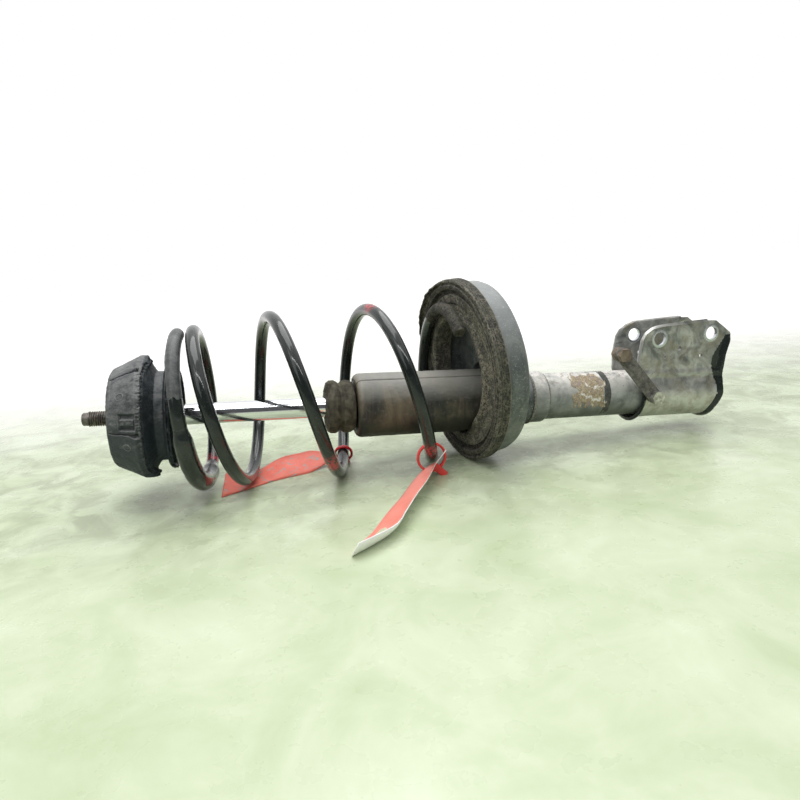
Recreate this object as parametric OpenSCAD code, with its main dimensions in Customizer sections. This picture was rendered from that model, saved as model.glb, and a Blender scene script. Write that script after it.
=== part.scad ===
// Suspension strut lying on its side.
// Row frame: +X runs along the damper axis from the top stud to the knuckle bracket, +Z points to
// the bracket's ears, and the origin is on the axis at the outer face of the top mount.
// All lengths are in millimetres and all angles in degrees.

/* [Piston rod] */
// Diameter of the chromed rod
rod_d = 20; // [18:0.5:22]
// Diameter of the threaded stud and of the neck inside the mount
stud_d = 14; // [12:0.5:15]
// Length of the stud in front of the mount's face, dog point included
stud_l = 28; // [22:1:40]
// Diameter of the dog point at the stud's tip
dog_d = 12; // [9:0.5:12]
// Length of the dog point
dog_l = 5.5; // [3:0.5:8]
// Distance from the rod guide to the piston at full rebound
piston_gap = 60; // [40:1:90]

/* [Top mount] */
// Diameter of the mount's flat outer face
face_d = 92; // [88:1:96]
// Largest diameter of the mount, at its rim
rim_d = 114; // [110:1:118]
// Distance from the face to the rim
rim_x = 26; // [24:0.5:30]
// Radius of the rounded edge of the face
face_round = 5; // [3:0.5:7]
// Length of the moulded body, face to the root of its skirt
mount_l = 38; // [36:0.5:42]
// Diameter of the skirt that covers the bearing
skirt_d = 83; // [81:0.5:86]
// Thickness of the steel plate inside the rubber
core_plate_t = 3; // [2:0.5:4]
// Diameter of the steel plate inside the rubber
core_plate_d = 74; // [66:1:80]
// Width of each moulded slit
slit_w = 1.6; // [1:0.1:2.4]
// Depth of each moulded slit
slit_depth = 7; // [4:0.5:9]
// Width of the window that holds the locating tab
window_w = 15; // [12:0.5:18]

/* [Upper seat and bearing] */
// Diameter of the bearing's balls
ball_d = 5; // [4.5:0.1:5.5]
// Diameter of the circle of ball centres
ball_circle_d = 60; // [56:1:64]
// Thickness of each bearing race at its edge
race_t = 3; // [2.6:0.1:3.4]
// Diameter of the upper seat's flange
seat_d = 140; // [132:1:146]
// Thickness of the upper seat's sheet
seat_t = 2.5; // [2:0.5:3.5]
// Distance that the seat's flange lies beyond its hub
seat_rise = 2.6; // [1.5:0.1:4]
// Length of the torn isolator that is left on the seat
isolator_l = 8; // [6:0.5:11]

/* [Spring] */
// Diameter of the spring wire
wire_d = 12; // [10:0.5:13]
// Mean diameter of the upper end coil
end_coil_d = 141; // [136:1:144]
// Mean diameter of the working coils
body_coil_d = 157; // [152:1:162]
// Mean diameter of the lower end coil
low_coil_d = 149; // [144:1:154]
// Number of turns from tip to tip
spring_turns = 4.12; // [4.06:0.01:4.2]
// Tilt of the line through the coils' centres against the damper axis
axis_tilt = 3.5; // [3:0.1:4.5]
// Height of that line above the damper axis at the mount's face
axis_z = 2.7; // [1.5:0.1:4]
// Tilt of the coils themselves against the damper axis
coil_tilt = 6.7; // [6:0.1:7.5]
// Turn of the coils about the upright, with the near side towards the mount
coil_yaw = 2; // [1:0.1:3]
// Distance that the near side of the upper end coil leans to the seat
coil_lean = 4; // [3:0.5:5]
// Wall of the sleeve on the upper end coil
sleeve_wall = 2.4; // [1.5:0.1:3]

/* [Lower spring pan] */
// Distance from the mount's face to the centre of the pan's rim
pan_x = 327.5; // [322:0.5:332]
// Height of the rim's centre above the damper axis
pan_z = 31.5; // [28:0.5:34]
// Tilt of the pan upwards
pan_tilt = 6.4; // [5:0.1:7.5]
// Turn of the pan away from the symmetry plane
pan_yaw = 5.7; // [4:0.1:7]
// Diameter of the rubber liner's lip
liner_d = 188; // [184:1:192]
// Diameter of the liner's hole
liner_hole_d = 110; // [106:1:114]
// Depth of the liner's seat below its lip
liner_step = 3.3; // [2:0.1:5]
// Thickness of the liner under the spring
liner_t = 6; // [4:0.5:8]
// Depth of the pan, lip to back edge
pan_depth = 38; // [34:1:42]
// Thickness of the pan's sheet
pan_t = 2.5; // [2:0.5:3.5]

/* [Damper] */
// Outer diameter of the damper tube
tube_d = 50; // [46:0.5:52]
// Wall of the damper tube
tube_wall = 2.5; // [2:0.1:3]
// Distance from the mount's face to the top of the tube
tube_x = 234; // [230:1:240]
// Length of the damper tube
tube_l = 394; // [386:1:402]
// Outer diameter of the inner pressure tube
inner_tube_d = 36; // [34:0.5:38]
// Wall of the inner pressure tube
inner_tube_wall = 1.5; // [1.2:0.1:2]
// Length of the rod guide
guide_l = 22; // [18:0.5:26]
// Length of the rod seal
seal_l = 4; // [3:0.5:6]
// Length of the collar below the pan
collar_l = 17; // [14:0.5:20]
// Wall of the collar
collar_wall = 2.5; // [2:0.1:3.5]
// Distance from the mount's face to the lower end of the collar
collar_end_x = 424; // [420:1:428]

/* [Bump stop and dust cover] */
// Diameter of the bump stop
bump_d = 54; // [50:1:57]
// Length of the bump stop in front of the cover
bump_l = 29.5; // [27:0.5:32]
// Outer diameter of the dust cover
cover_d = 65; // [63:0.5:67]
// Wall of the dust cover
cover_wall = 2.5; // [2:0.1:3]
// Distance from the mount's face to the cover's closed end
cover_x = 221; // [218:0.5:223]
// Length of the dust cover
cover_l = 143; // [136:1:146]

/* [Knuckle bracket] */
// Thickness of the bracket's sheet
bracket_t = 3.5; // [3:0.1:4]
// Distance between the ears' inner faces
ear_gap = 41.5; // [39:0.5:43]
// Distance from the mount's face to the wrap's upper edge
wrap_x = 534; // [530:1:538]
// Length of the wrap round the tube
wrap_l = 96; // [92:1:100]
// Diameter of the two knuckle bolt holes
bolt_hole_d = 14.2; // [12.2:0.1:16.2]
// Distance from the wrap's upper edge to the upper bolt hole
hole_1_x = 18; // [15:0.5:20]
// Height of the upper bolt hole above the damper axis
hole_1_z = 62.5; // [60:0.5:64]
// Distance from the wrap's upper edge to the lower bolt hole
hole_2_x = 83; // [80:0.5:86]
// Height of the lower bolt hole above the damper axis
hole_2_z = 67.5; // [65:0.5:69]
// Width that the stiffening flanges stand out
flange_w = 4.5; // [3:0.5:6]

/* [Hose strap] */
// Width of the strap
strap_w = 15; // [12:0.5:18]
// Thickness of the strap
strap_t = 3; // [2:0.5:4]
// Distance between the strap's two bolts
strap_l = 65; // [58:0.5:70]
// Angle of the strap against the damper axis
strap_angle = 133.5; // [128:0.5:140]
// Length of the spacer between the bracket and the strap
spacer_l = 4.5; // [3:0.5:6]
// Thread diameter of the strap's bolts
strap_bolt_d = 8; // [6:0.5:8]

/* [Tags] */
// Width of the two plastic tags
tag_w = 36; // [28:1:40]
// Thickness of the two plastic tags
tag_t = 0.8; // [0.6:0.1:1.2]
// Width of the cable ties
tie_w = 4; // [3:0.5:5]
// Thickness of the cable ties
tie_t = 1.4; // [1:0.1:2]
// Inner diameter of the loose tie of the long tag
long_tie_d = 25; // [22:0.5:28]
// Inner diameter of the tie of the short tag
short_tie_d = 15; // [14:0.5:17]

/* [Hidden] */
$fn = 64;

// Clearances shared by mating pieces
fit = 0.05;        // round pieces that sit or run in each other
slip = 0.3;        // pieces of two bodies that pass each other
wire_gap = 0.25;   // spring wire against its seats and its sleeve

rod_r = rod_d / 2;
stud_r = stud_d / 2;
tube_r = tube_d / 2;
tube_in_r = tube_r - tube_wall;
tube_end_x = tube_x + tube_l;
wire_r = wire_d / 2;

// Places along the axis, from the mount's face
nut_h = 11;
washer_h = 3;
groove_x = 1;       // the stud's own wall ends here, just inside the mount's recess
nut_x = 2.5;
washer_x = nut_x + nut_h;
core_x = washer_x + washer_h;
core_l = 28;
core_r = 13;
core_plate_x = core_x + 8;
race_r = ball_circle_d / 2 + 8;
race_in_r = ball_circle_d / 2 - 8;
upper_race_x = mount_l;
ball_x = upper_race_x + race_t + ball_d / 2 - 1.2;
lower_race_x = ball_x + ball_d / 2 - 1.2;
seat_x = lower_race_x + race_t;
flange_x = seat_x + seat_rise;
skirt_end_x = seat_x - 0.6;
seat_hole_r = rod_r + 4;
rod_shoulder_x = core_x + core_l;

lip_t = 2.2;
seal_x = tube_x + lip_t;
guide_x = seal_x + seal_l;
guide_end_x = guide_x + guide_l;
inner_r = inner_tube_d / 2 - inner_tube_wall;
spigot_l = 10;
spigot_x = guide_end_x - spigot_l;
stop_l = 8;
stop_x = guide_end_x + slip;
piston_l = 22;
piston_x = guide_end_x + piston_gap;
piston_r = inner_r - 0.8;
pin_r = 6;
piston_nut_h = 9;
valve_l = 16;
cap_t = 4;
cap_x = tube_end_x - cap_t;
valve_x = cap_x - valve_l - 6;

// ---- helpers ----
// Revolves a profile of [distance along +X, radius] points round the damper axis
module turned(points) {
    rotate([0, 90, 0]) rotate_extrude() polygon([for (p = points) [p[1], p[0]]]);
}
// Ring round the damper axis
module ring(x, l, r_out, r_in) {
    turned([[x, r_in], [x + l, r_in], [x + l, r_out], [x, r_out]]);
}
// Cylinder along +X that starts at x
module rod_x(x, l, r) { translate([x, 0, 0]) rotate([0, 90, 0]) cylinder(h = l, r = r); }
// Cylinder along +Y from y0 to y1 at [x, z]
module rod_y(x, z, y0, y1, r) {
    translate([x, y0, z]) rotate([-90, 0, 0]) cylinder(h = y1 - y0, r = r);
}
// Hexagonal head along +Y, with its width across the flats
module hex_y(x, z, y0, y1, flats) {
    translate([x, y0, z]) rotate([-90, 0, 0]) cylinder(h = y1 - y0, r = flats / sqrt(3), $fn = 6);
}
// Faces of a closed sweep of rings with the same number of points
function sweep_faces(rings, sides) = concat(
    [for (i = [0:rings - 2], k = [0:sides - 1])
        [i * sides + k, i * sides + (k + 1) % sides, (i + 1) * sides + k]],
    [for (i = [0:rings - 2], k = [0:sides - 1])
        [i * sides + (k + 1) % sides, (i + 1) * sides + (k + 1) % sides, (i + 1) * sides + k]],
    [[for (k = [sides - 1:-1:0]) k]],
    [[for (k = [0:sides - 1]) (rings - 1) * sides + k]]
);
// Faces of a hollow sweep: outer rings first, then as many inner rings
function pipe_faces(rings, sides) = let (inner = rings * sides) concat(
    [for (i = [0:rings - 2], k = [0:sides - 1])
        [i * sides + k, i * sides + (k + 1) % sides, (i + 1) * sides + k]],
    [for (i = [0:rings - 2], k = [0:sides - 1])
        [i * sides + (k + 1) % sides, (i + 1) * sides + (k + 1) % sides, (i + 1) * sides + k]],
    [for (i = [0:rings - 2], k = [0:sides - 1])
        [inner + i * sides + k, inner + (i + 1) * sides + k, inner + i * sides + (k + 1) % sides]],
    [for (i = [0:rings - 2], k = [0:sides - 1])
        [inner + i * sides + (k + 1) % sides, inner + (i + 1) * sides + k,
         inner + (i + 1) * sides + (k + 1) % sides]],
    [for (k = [0:sides - 1]) [k, inner + k, (k + 1) % sides]],
    [for (k = [0:sides - 1]) [(k + 1) % sides, inner + k, inner + (k + 1) % sides]],
    [for (k = [0:sides - 1])
        [(rings - 1) * sides + k, (rings - 1) * sides + (k + 1) % sides,
         inner + (rings - 1) * sides + k]],
    [for (k = [0:sides - 1])
        [(rings - 1) * sides + (k + 1) % sides, inner + (rings - 1) * sides + (k + 1) % sides,
         inner + (rings - 1) * sides + k]]
);
function unit(v) = v / norm(v);
function smooth(t) = let (u = min(max(t, 0), 1)) u * u * (3 - 2 * u);
// Integral of smooth() from 0 to t
function smooth_sum(t) = t <= 0 ? 0 : t < 1 ? t * t * t - t * t * t * t / 2 : t - 0.5;

// ---- coil spring ----
// Centre line of the coils and their upright and sideways directions
axis_start = [0, 0, axis_z];
axis_dir = [cos(axis_tilt), 0, sin(axis_tilt)];
coil_up = [-sin(coil_tilt), 0, cos(coil_tilt)];
coil_side = [-sin(coil_yaw), -cos(coil_yaw), 0];
// Turn 0 starts at the top and goes to -Y
tip_turn = 0.02;       // turn at which the wire's upper tip lies
end_closed = 0.15;     // turns that stay flat at the upper tip
end_ramp = 1.95;       // turns over which the pitch grows
low_open = 3.45;       // turn at which the pitch falls again
low_ramp = 0.7;        // turns over which it falls
// Share of the full rise at a turn, before it is scaled to the room between the seats
function rise(n) = end_ramp * smooth_sum((n - end_closed) / end_ramp)
    - low_ramp * smooth_sum((n - low_open) / low_ramp);
function coil_r(n) = (end_coil_d + (body_coil_d - end_coil_d) * smooth(n - 1)
    - (body_coil_d - low_coil_d) * smooth(n - 3)) / 2;
function lean(n) = -coil_lean * sin(360 * n) * (1 - smooth((n - 0.85) / 0.7));
function coil_out(n) = cos(360 * n) * coil_up + sin(360 * n) * coil_side;
// The leaning end coil goes as low as the seat lets it, at whichever turn meets the seat first
coil_start = max([for (n = [tip_turn:0.02:0.5])
    (flange_x + seat_t + wire_gap + wire_r - coil_r(n) * coil_out(n)[0]) / cos(axis_tilt)
    - lean(n)]);
pan_dir = [cos(pan_tilt) * cos(pan_yaw), cos(pan_tilt) * sin(pan_yaw), sin(pan_tilt)];
pan_centre = [pan_x, 0, pan_z];
// Distance along the spring that brings the wire at a turn down onto the liner's seat
function at_liner(n) = ((pan_centre - axis_start) * pan_dir + liner_step - wire_gap - wire_r
    - coil_r(n) * (coil_out(n) * pan_dir)) / (axis_dir * pan_dir);
rise_scale = min([for (n = [low_open:0.03:spring_turns]) (at_liner(n) - coil_start) / rise(n)]);
function coil_at(n) = axis_start + (coil_start + rise_scale * rise(n) + lean(n)) * axis_dir
    + coil_r(n) * coil_out(n);
function coil_along(n) = unit(coil_at(n + 0.004) - coil_at(n - 0.004));
// Ring of the wire's section at a turn
function wire_ring(n, r, sides) = let (along = coil_along(n), side = unit(cross(along, coil_out(n))),
    out = cross(side, along))
    [for (k = [0:sides - 1])
        coil_at(n) + r * (cos(360 * k / sides) * out + sin(360 * k / sides) * side)];
wire_sides = 12;
module coil_spring() {
    steps = 118;
    turns = [for (i = [0:steps]) tip_turn + (spring_turns - tip_turn) * i / steps];
    color([0.10, 0.12, 0.12])
    polyhedron(points = [for (n = turns) each wire_ring(n, wire_r, wire_sides)],
        faces = sweep_faces(len(turns), wire_sides), convexity = 8);
}
module spring_sleeve() {
    from = 0.27;
    to = 0.54;
    steps = 12;
    turns = [for (i = [0:steps]) from + (to - from) * i / steps];
    in_r = (wire_r + wire_gap) / cos(180 / wire_sides);
    color([0.13, 0.15, 0.14])
    polyhedron(points = concat(
            [for (n = turns) each wire_ring(n, in_r + sleeve_wall, wire_sides)],
            [for (n = turns) each wire_ring(n, in_r, wire_sides)]),
        faces = pipe_faces(len(turns), wire_sides), convexity = 4);
}

// ---- rod, mount and bearing ----
module piston_rod() {
    tip_x = -stud_l;
    color([0.75, 0.76, 0.78])
    turned([
        [tip_x, 0], [tip_x, dog_d / 2 - 1], [tip_x + 1, dog_d / 2], [tip_x + dog_l, dog_d / 2],
        [tip_x + dog_l, stud_r], [groove_x, stud_r], [groove_x, stud_r - 0.9],
        [nut_x, stud_r - 0.9], [nut_x, stud_r], [rod_shoulder_x, stud_r],
        [rod_shoulder_x, rod_r - 0.8],
        [rod_shoulder_x + 0.8, rod_r], [piston_x, rod_r], [piston_x, pin_r],
        [piston_x + piston_l + piston_nut_h + 3, pin_r], [piston_x + piston_l + piston_nut_h + 3, 0]
    ]);
}
module stud_nut() {
    color([0.55, 0.54, 0.50])
    difference() {
        translate([nut_x, 0, 0]) rotate([0, 90, 0])
            cylinder(h = nut_h, r = 22 / sqrt(3), $fn = 6);
        rod_x(nut_x - 1, nut_h + 2, stud_r + fit);
    }
}
module stud_washer() {
    color([0.5, 0.49, 0.46]) ring(washer_x, washer_h, 14.5, stud_r + fit);
}
// Steel bush with the plate that the rubber is moulded round
module mount_core() {
    color([0.40, 0.40, 0.41])
    turned([
        [core_x, stud_r + fit], [rod_shoulder_x, stud_r + fit], [rod_shoulder_x, core_r],
        [core_plate_x + core_plate_t, core_r], [core_plate_x + core_plate_t, core_plate_d / 2],
        [core_plate_x, core_plate_d / 2], [core_plate_x, core_r], [core_x, core_r]
    ]);
}
slit_angles = [80, 48, 4, -59, -100, -132, -176, 121];
tab_angle = -8;
recess_r = 16;
// Cuts into the mount's sloping side at an angle, seen from the camera's side of the strut
module at_side(angle) { rotate([angle, 0, 0]) children(); }
module mount_rubber() {
    face_r = face_d / 2;
    rim_r = rim_d / 2;
    skirt_r = skirt_d / 2;
    skirt_wall = 2;
    side_at = face_r + (rim_r - face_r) * 0.45;
    color([0.27, 0.28, 0.29])
    difference() {
        turned(concat(
            [[0, recess_r]],
            [for (a = [0:15:75])
                [face_round * (1 - cos(a)), face_r - face_round * (1 - sin(a))]],
            [[face_round, face_r + 0.6], [rim_x - 2, rim_r - 0.8], [rim_x, rim_r],
             [rim_x + 3.5, rim_r - 0.5], [mount_l - 2, skirt_r + 2.5], [mount_l, skirt_r],
             [skirt_end_x, skirt_r], [skirt_end_x, skirt_r - skirt_wall],
             [mount_l, skirt_r - skirt_wall], [mount_l, core_r + fit],
             [core_plate_x + core_plate_t, core_r + fit],
             [core_plate_x + core_plate_t, core_plate_d / 2 + fit],
             [core_plate_x, core_plate_d / 2 + fit], [core_plate_x, core_r + fit],
             [core_x, core_r + fit], [core_x, recess_r]]));
        for (a = slit_angles) at_side(a)
            translate([3, -rim_r - 2, -slit_w / 2])
                cube([rim_x - 6, rim_r + 2 - side_at + slit_depth, slit_w]);
        at_side(tab_angle) difference() {
            translate([11, -rim_r - 2, -window_w / 2])
                cube([rim_x - 12, rim_r + 2 - side_at + 3, window_w]);
            translate([9, -side_at - 2.2, -3]) cube([rim_x, 8, 6]);
        }
    }
}
ball_count = 24;
module race(x, balls_x) {
    difference() {
        ring(x, race_t, race_r, race_in_r);
        rotate([0, 90, 0]) rotate_extrude()
            translate([ball_circle_d / 2, balls_x]) circle(r = ball_d / 2 + fit);
    }
}
module bearing_upper_race() { color([0.62, 0.63, 0.64]) race(upper_race_x, ball_x); }
module bearing_lower_race() { color([0.62, 0.63, 0.64]) race(lower_race_x, ball_x); }
module at_balls() {
    for (i = [0:ball_count - 1]) rotate([360 * i / ball_count, 0, 0])
        translate([ball_x, 0, ball_circle_d / 2]) children();
}
module bearing_balls() { color([0.80, 0.81, 0.82]) at_balls() sphere(d = ball_d); }
module bearing_cage() {
    cage_t = 1.6;
    color([0.75, 0.70, 0.55])
    difference() {
        ring(ball_x - cage_t / 2, cage_t, ball_circle_d / 2 + 4, ball_circle_d / 2 - 4);
        at_balls() rotate([0, 90, 0])
            cylinder(h = ball_d, r = ball_d / 2 + 2 * fit, center = true);
    }
}
seat_spigot_r = 40;
isolator_t = 5;
module upper_spring_seat() {
    flange_r = seat_d / 2;
    x1 = seat_x + seat_t;
    step_r = seat_spigot_r + isolator_t + 1.5;
    step_l = 3;
    color([0.16, 0.17, 0.18])
    turned([
        [seat_x, seat_hole_r], [x1, seat_hole_r], [x1, seat_spigot_r - seat_t],
        [x1 + isolator_l - 2, seat_spigot_r - seat_t], [x1 + isolator_l - 2, seat_spigot_r],
        [x1, seat_spigot_r], [x1, step_r], [flange_x + seat_t, step_r + step_l],
        [flange_x + seat_t, flange_r - 1.5], [flange_x + seat_t / 2, flange_r],
        [flange_x, flange_r - 0.5], [flange_x, step_r + step_l + 1], [seat_x, step_r + 1]
    ]);
}
module seat_isolator() {
    x0 = seat_x + seat_t;
    r_in = seat_spigot_r + fit;
    color([0.12, 0.13, 0.14])
    turned([
        [x0, r_in], [x0 + isolator_l, r_in], [x0 + isolator_l, r_in + isolator_t - 1.5],
        [x0 + isolator_l * 0.6, r_in + isolator_t + 0.5], [x0, r_in + isolator_t]
    ]);
}

// ---- bump stop and dust cover ----
bump_x = cover_x - bump_l;
neck_r = 14;
module bump_stop() {
    r = bump_d / 2;
    bore = rod_r + fit;
    valley_x = bump_x + bump_l * 0.47;
    wall_x = cover_x + cover_wall;
    color([0.35, 0.33, 0.26])
    turned([
        [bump_x, bore], [bump_x, r - 7], [bump_x + 2, r - 2.5], [bump_x + 5, r],
        [valley_x - 4, r], [valley_x - 1, r - 3], [valley_x + 1, r - 3], [valley_x + 4, r - 0.3],
        [cover_x - 5, r - 0.3], [cover_x - 1.5, r - 2], [cover_x - fit, r - 6],
        [cover_x - fit, neck_r], [wall_x + fit, neck_r], [wall_x + fit, neck_r + 4],
        [wall_x + 4, neck_r + 4], [wall_x + 7, neck_r - 1], [wall_x + 7, bore]
    ]);
}
module dust_cover() {
    r = cover_d / 2;
    round_r = 5;
    in_round = round_r - cover_wall;
    color([0.17, 0.15, 0.13])
    turned(concat(
        [[cover_x + cover_wall, neck_r + fit], [cover_x, neck_r + fit]],
        [for (a = [0:15:90]) [cover_x + round_r * (1 - cos(a)), r - round_r * (1 - sin(a))]],
        [[cover_x + cover_l, r], [cover_x + cover_l, r - cover_wall]],
        [for (a = [90:-30:0])
            [cover_x + round_r - in_round * cos(a), r - round_r + in_round * sin(a)]]
    ));
}

// ---- damper ----
module damper_tube() {
    color([0.42, 0.43, 0.43])
    turned([
        [tube_x, tube_in_r - 3], [tube_x, tube_r - 1], [tube_x + 1, tube_r],
        [tube_end_x, tube_r], [tube_end_x, tube_in_r], [seal_x, tube_in_r], [seal_x, tube_in_r - 3]
    ]);
}
module rod_seal() {
    color([0.12, 0.12, 0.12]) ring(seal_x, seal_l, tube_in_r - fit, rod_r + fit);
}
bush_wall = 1.5;
module rod_guide() {
    bush_r = rod_r + fit + bush_wall;
    color([0.55, 0.56, 0.57])
    turned([
        [guide_x, bush_r + fit], [guide_end_x, bush_r + fit], [guide_end_x, inner_r - fit],
        [spigot_x, inner_r - fit], [spigot_x, tube_in_r - fit], [guide_x, tube_in_r - fit]
    ]);
}
module guide_bush() {
    color([0.45, 0.36, 0.20])
        ring(guide_x + 1, guide_l - 2, rod_r + fit + bush_wall, rod_r + fit);
}
module pressure_tube() {
    x1 = valve_x + valve_l - 8;
    color([0.58, 0.59, 0.60]) ring(spigot_x, x1 - spigot_x, inner_tube_d / 2, inner_r);
}
module rebound_stop() {
    color([0.20, 0.20, 0.19]) ring(stop_x, stop_l, inner_r - 2, rod_r + fit);
}
band_w = 10;
module piston() {
    band_x = piston_x + (piston_l - band_w) / 2;
    color([0.50, 0.50, 0.51])
    turned([
        [piston_x, pin_r + fit], [piston_x + piston_l, pin_r + fit],
        [piston_x + piston_l, piston_r], [band_x + band_w, piston_r],
        [band_x + band_w, piston_r - 1.5], [band_x, piston_r - 1.5], [band_x, piston_r],
        [piston_x, piston_r]
    ]);
}
module piston_band() {
    color([0.25, 0.24, 0.22])
        ring(piston_x + (piston_l - band_w) / 2 + fit, band_w - 2 * fit, inner_r - fit,
            piston_r - 1.5 + fit);
}
module piston_nut() {
    color([0.60, 0.60, 0.60])
    difference() {
        translate([piston_x + piston_l, 0, 0]) rotate([0, 90, 0])
            cylinder(h = piston_nut_h, r = 18 / sqrt(3), $fn = 6);
        rod_x(piston_x + piston_l - 1, piston_nut_h + 2, pin_r + fit);
    }
}
module base_valve() {
    body_r = inner_r - fit;
    x1 = valve_x + valve_l;
    color([0.52, 0.53, 0.54])
    turned([
        [valve_x, 0], [valve_x, body_r], [x1 - 8, body_r], [x1 - 8, inner_tube_d / 2],
        [x1, inner_tube_d / 2], [x1, tube_in_r - 2], [cap_x, tube_in_r - 2], [cap_x, tube_in_r - 5],
        [x1 + 3, tube_in_r - 5], [x1 + 3, 0]
    ]);
}
module bottom_cap() {
    color([0.36, 0.36, 0.35])
    turned([
        [cap_x, 0], [cap_x, tube_in_r - fit], [tube_end_x, tube_in_r - fit], [tube_end_x, 14],
        [tube_end_x + 2, 12], [tube_end_x + 2, 0]
    ]);
}

// ---- lower pan ----
module in_pan() { translate(pan_centre) rotate([0, 90 - pan_tilt, pan_yaw]) children(); }
collar_x = collar_end_x - collar_l;
pan_seat_h = liner_step + liner_t;
pan_r = liner_d / 2 - 3;
pan_in_r = liner_hole_d / 2 + 3;
pan_floor_h = pan_depth - 4;
neck_big_r = 42;
neck_small_r = tube_r + fit + pan_t;
neck_l = 42;
cover_way = cover_d / 2 + 1.5;   // way through the pan and its liner for the dust cover
module spring_pan() {
    socket_l = 8;
    cone_x = collar_x - socket_l;
    color([0.36, 0.40, 0.43])
    difference() {
        union() {
            // Seat plate with its turned-back skirt, and the inner wall down to the floor
            in_pan() rotate_extrude() polygon([
                [pan_in_r, pan_seat_h], [pan_r - 0.2, pan_seat_h], [pan_r, pan_seat_h + 1],
                [pan_r - 1.5, pan_depth - 8], [pan_r - 3.5, pan_depth - 3], [pan_r - 8, pan_depth],
                [pan_r - 8.5, pan_depth - pan_t + 0.4], [pan_r - 5.8, pan_depth - 4.5],
                [pan_r - 4.2, pan_depth - 8.5], [pan_r - 2.8, pan_seat_h + pan_t],
                [pan_in_r + pan_t, pan_seat_h + pan_t], [pan_in_r + pan_t, pan_floor_h + pan_t],
                [0, pan_floor_h + pan_t], [0, pan_floor_h], [pan_in_r, pan_floor_h]
            ]);
            // Cone from the floor to the socket on the tube, kept behind the floor
            difference() {
                turned([
                    [cone_x - neck_l, 0], [cone_x - neck_l, neck_big_r + pan_t],
                    [cone_x, neck_small_r], [collar_x, neck_small_r], [collar_x, 0]
                ]);
                in_pan() translate([0, 0, -pan_depth]) cylinder(h = pan_depth + pan_floor_h,
                    r = liner_d);
            }
        }
        turned([
            [cone_x - neck_l - 1, 0], [cone_x - neck_l - 1, neck_big_r],
            [cone_x - neck_l, neck_big_r], [cone_x, tube_r + fit], [collar_x + 1, tube_r + fit],
            [collar_x + 1, 0]
        ]);
        rod_x(pan_x - pan_depth, pan_depth + cone_x - neck_l - pan_x, cover_way);
    }
}
module pan_liner() {
    lip_r = liner_d / 2;
    hole_r = liner_hole_d / 2;
    seat_r = lip_r - 10;
    color([0.24, 0.22, 0.19])
    difference() {
        in_pan() rotate_extrude() polygon([
            [hole_r, liner_step + 1], [hole_r + 1, liner_step], [seat_r - 1, liner_step],
            [seat_r, liner_step - 1], [seat_r, 1], [seat_r + 1, 0], [lip_r - 1.5, 0], [lip_r, 1.5],
            [lip_r, pan_seat_h + 3], [pan_r + fit, pan_seat_h + 3], [pan_r + fit, pan_seat_h],
            [pan_in_r - fit, pan_seat_h], [pan_in_r - fit, pan_seat_h + 12],
            [hole_r, pan_seat_h + 12]
        ]);
        rod_x(pan_x - liner_d, 2 * liner_d, cover_way);
    }
}
module pan_collar() {
    color([0.40, 0.42, 0.42])
        ring(collar_x, collar_l, tube_r + fit + collar_wall, tube_r + fit);
}

// ---- knuckle bracket ----
wrap_r = tube_r + fit + bracket_t;
ear_in = ear_gap / 2;
ear_out = ear_in + bracket_t;
wrap_end_x = wrap_x + wrap_l;
// Outline of an ear and of the wrap below it, seen along Y, from the wrap's upper edge
module side_outline() {
    translate([wrap_x, 0]) polygon([
        [0, -wrap_r - 1], [wrap_l, -wrap_r - 1], [wrap_l + 1, -14], [wrap_l + 6, 0],
        [wrap_l + 6, 24], [wrap_l + 8, 44], [wrap_l + 13, hole_2_z - 2],
        [wrap_l + 11.5, hole_2_z + 4], [wrap_l + 7, hole_2_z + 10], [wrap_l + 2, hole_2_z + 13],
        [hole_2_x, hole_2_z + 14], [hole_1_x - 2, hole_1_z + 14], [hole_1_x - 11, hole_1_z + 11],
        [hole_1_x - 18, hole_1_z + 6], [hole_1_x - 22, hole_1_z - 1], [-7, 30], [0, 16]
    ]);
}
// Section of the bracket across the tube: a wrap that turns up into two ears
module wrap_section(extra) {
    difference() {
        union() {
            difference() {
                circle(r = wrap_r + extra);
                translate([-ear_in, 0]) square([2 * ear_in, 2 * wrap_r]);
            }
            for (s = [-1, 1]) translate([s * (ear_in + (bracket_t + extra) / 2), 60])
                square([bracket_t + extra, 100], center = true);
        }
        circle(r = tube_r + fit);
    }
}
module along_x(x, l) { translate([x, 0, 0]) rotate([90, 0, 90]) linear_extrude(l) children(); }
module along_y(y, l) { translate([0, y + l, 0]) rotate([90, 0, 0]) linear_extrude(l) children(); }
module knuckle_bracket() {
    reach = 2 * ear_out + 4 * flange_w;
    small_holes = [[45, 51.3, 2.6], [27, 42, 2.2], [73, 42.7, 2.2]];
    color([0.45, 0.45, 0.44])
    difference() {
        union() {
            intersection() {
                along_x(wrap_x - 20, wrap_l + 60) wrap_section(0);
                along_y(-reach, 2 * reach) side_outline();
            }
            // Flanges that stiffen the two edges
            intersection() {
                along_x(wrap_x - 20, wrap_l + 60) wrap_section(flange_w);
                along_y(-reach, 2 * reach) union() {
                    difference() {
                        side_outline();
                        translate([bracket_t, 0]) side_outline();
                    }
                    intersection() {
                        difference() {
                            side_outline();
                            translate([-bracket_t, 0]) side_outline();
                        }
                        translate([wrap_x, 8]) square([2 * wrap_l, hole_2_z - 12]);
                    }
                }
            }
        }
        rod_y(wrap_x + hole_1_x, hole_1_z, -reach, reach, bolt_hole_d / 2);
        rod_y(wrap_x + hole_2_x, hole_2_z, -reach, reach, bolt_hole_d / 2);
        for (h = small_holes) rod_y(wrap_x + h[0], h[1], -reach, reach, h[2]);
    }
}

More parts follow.
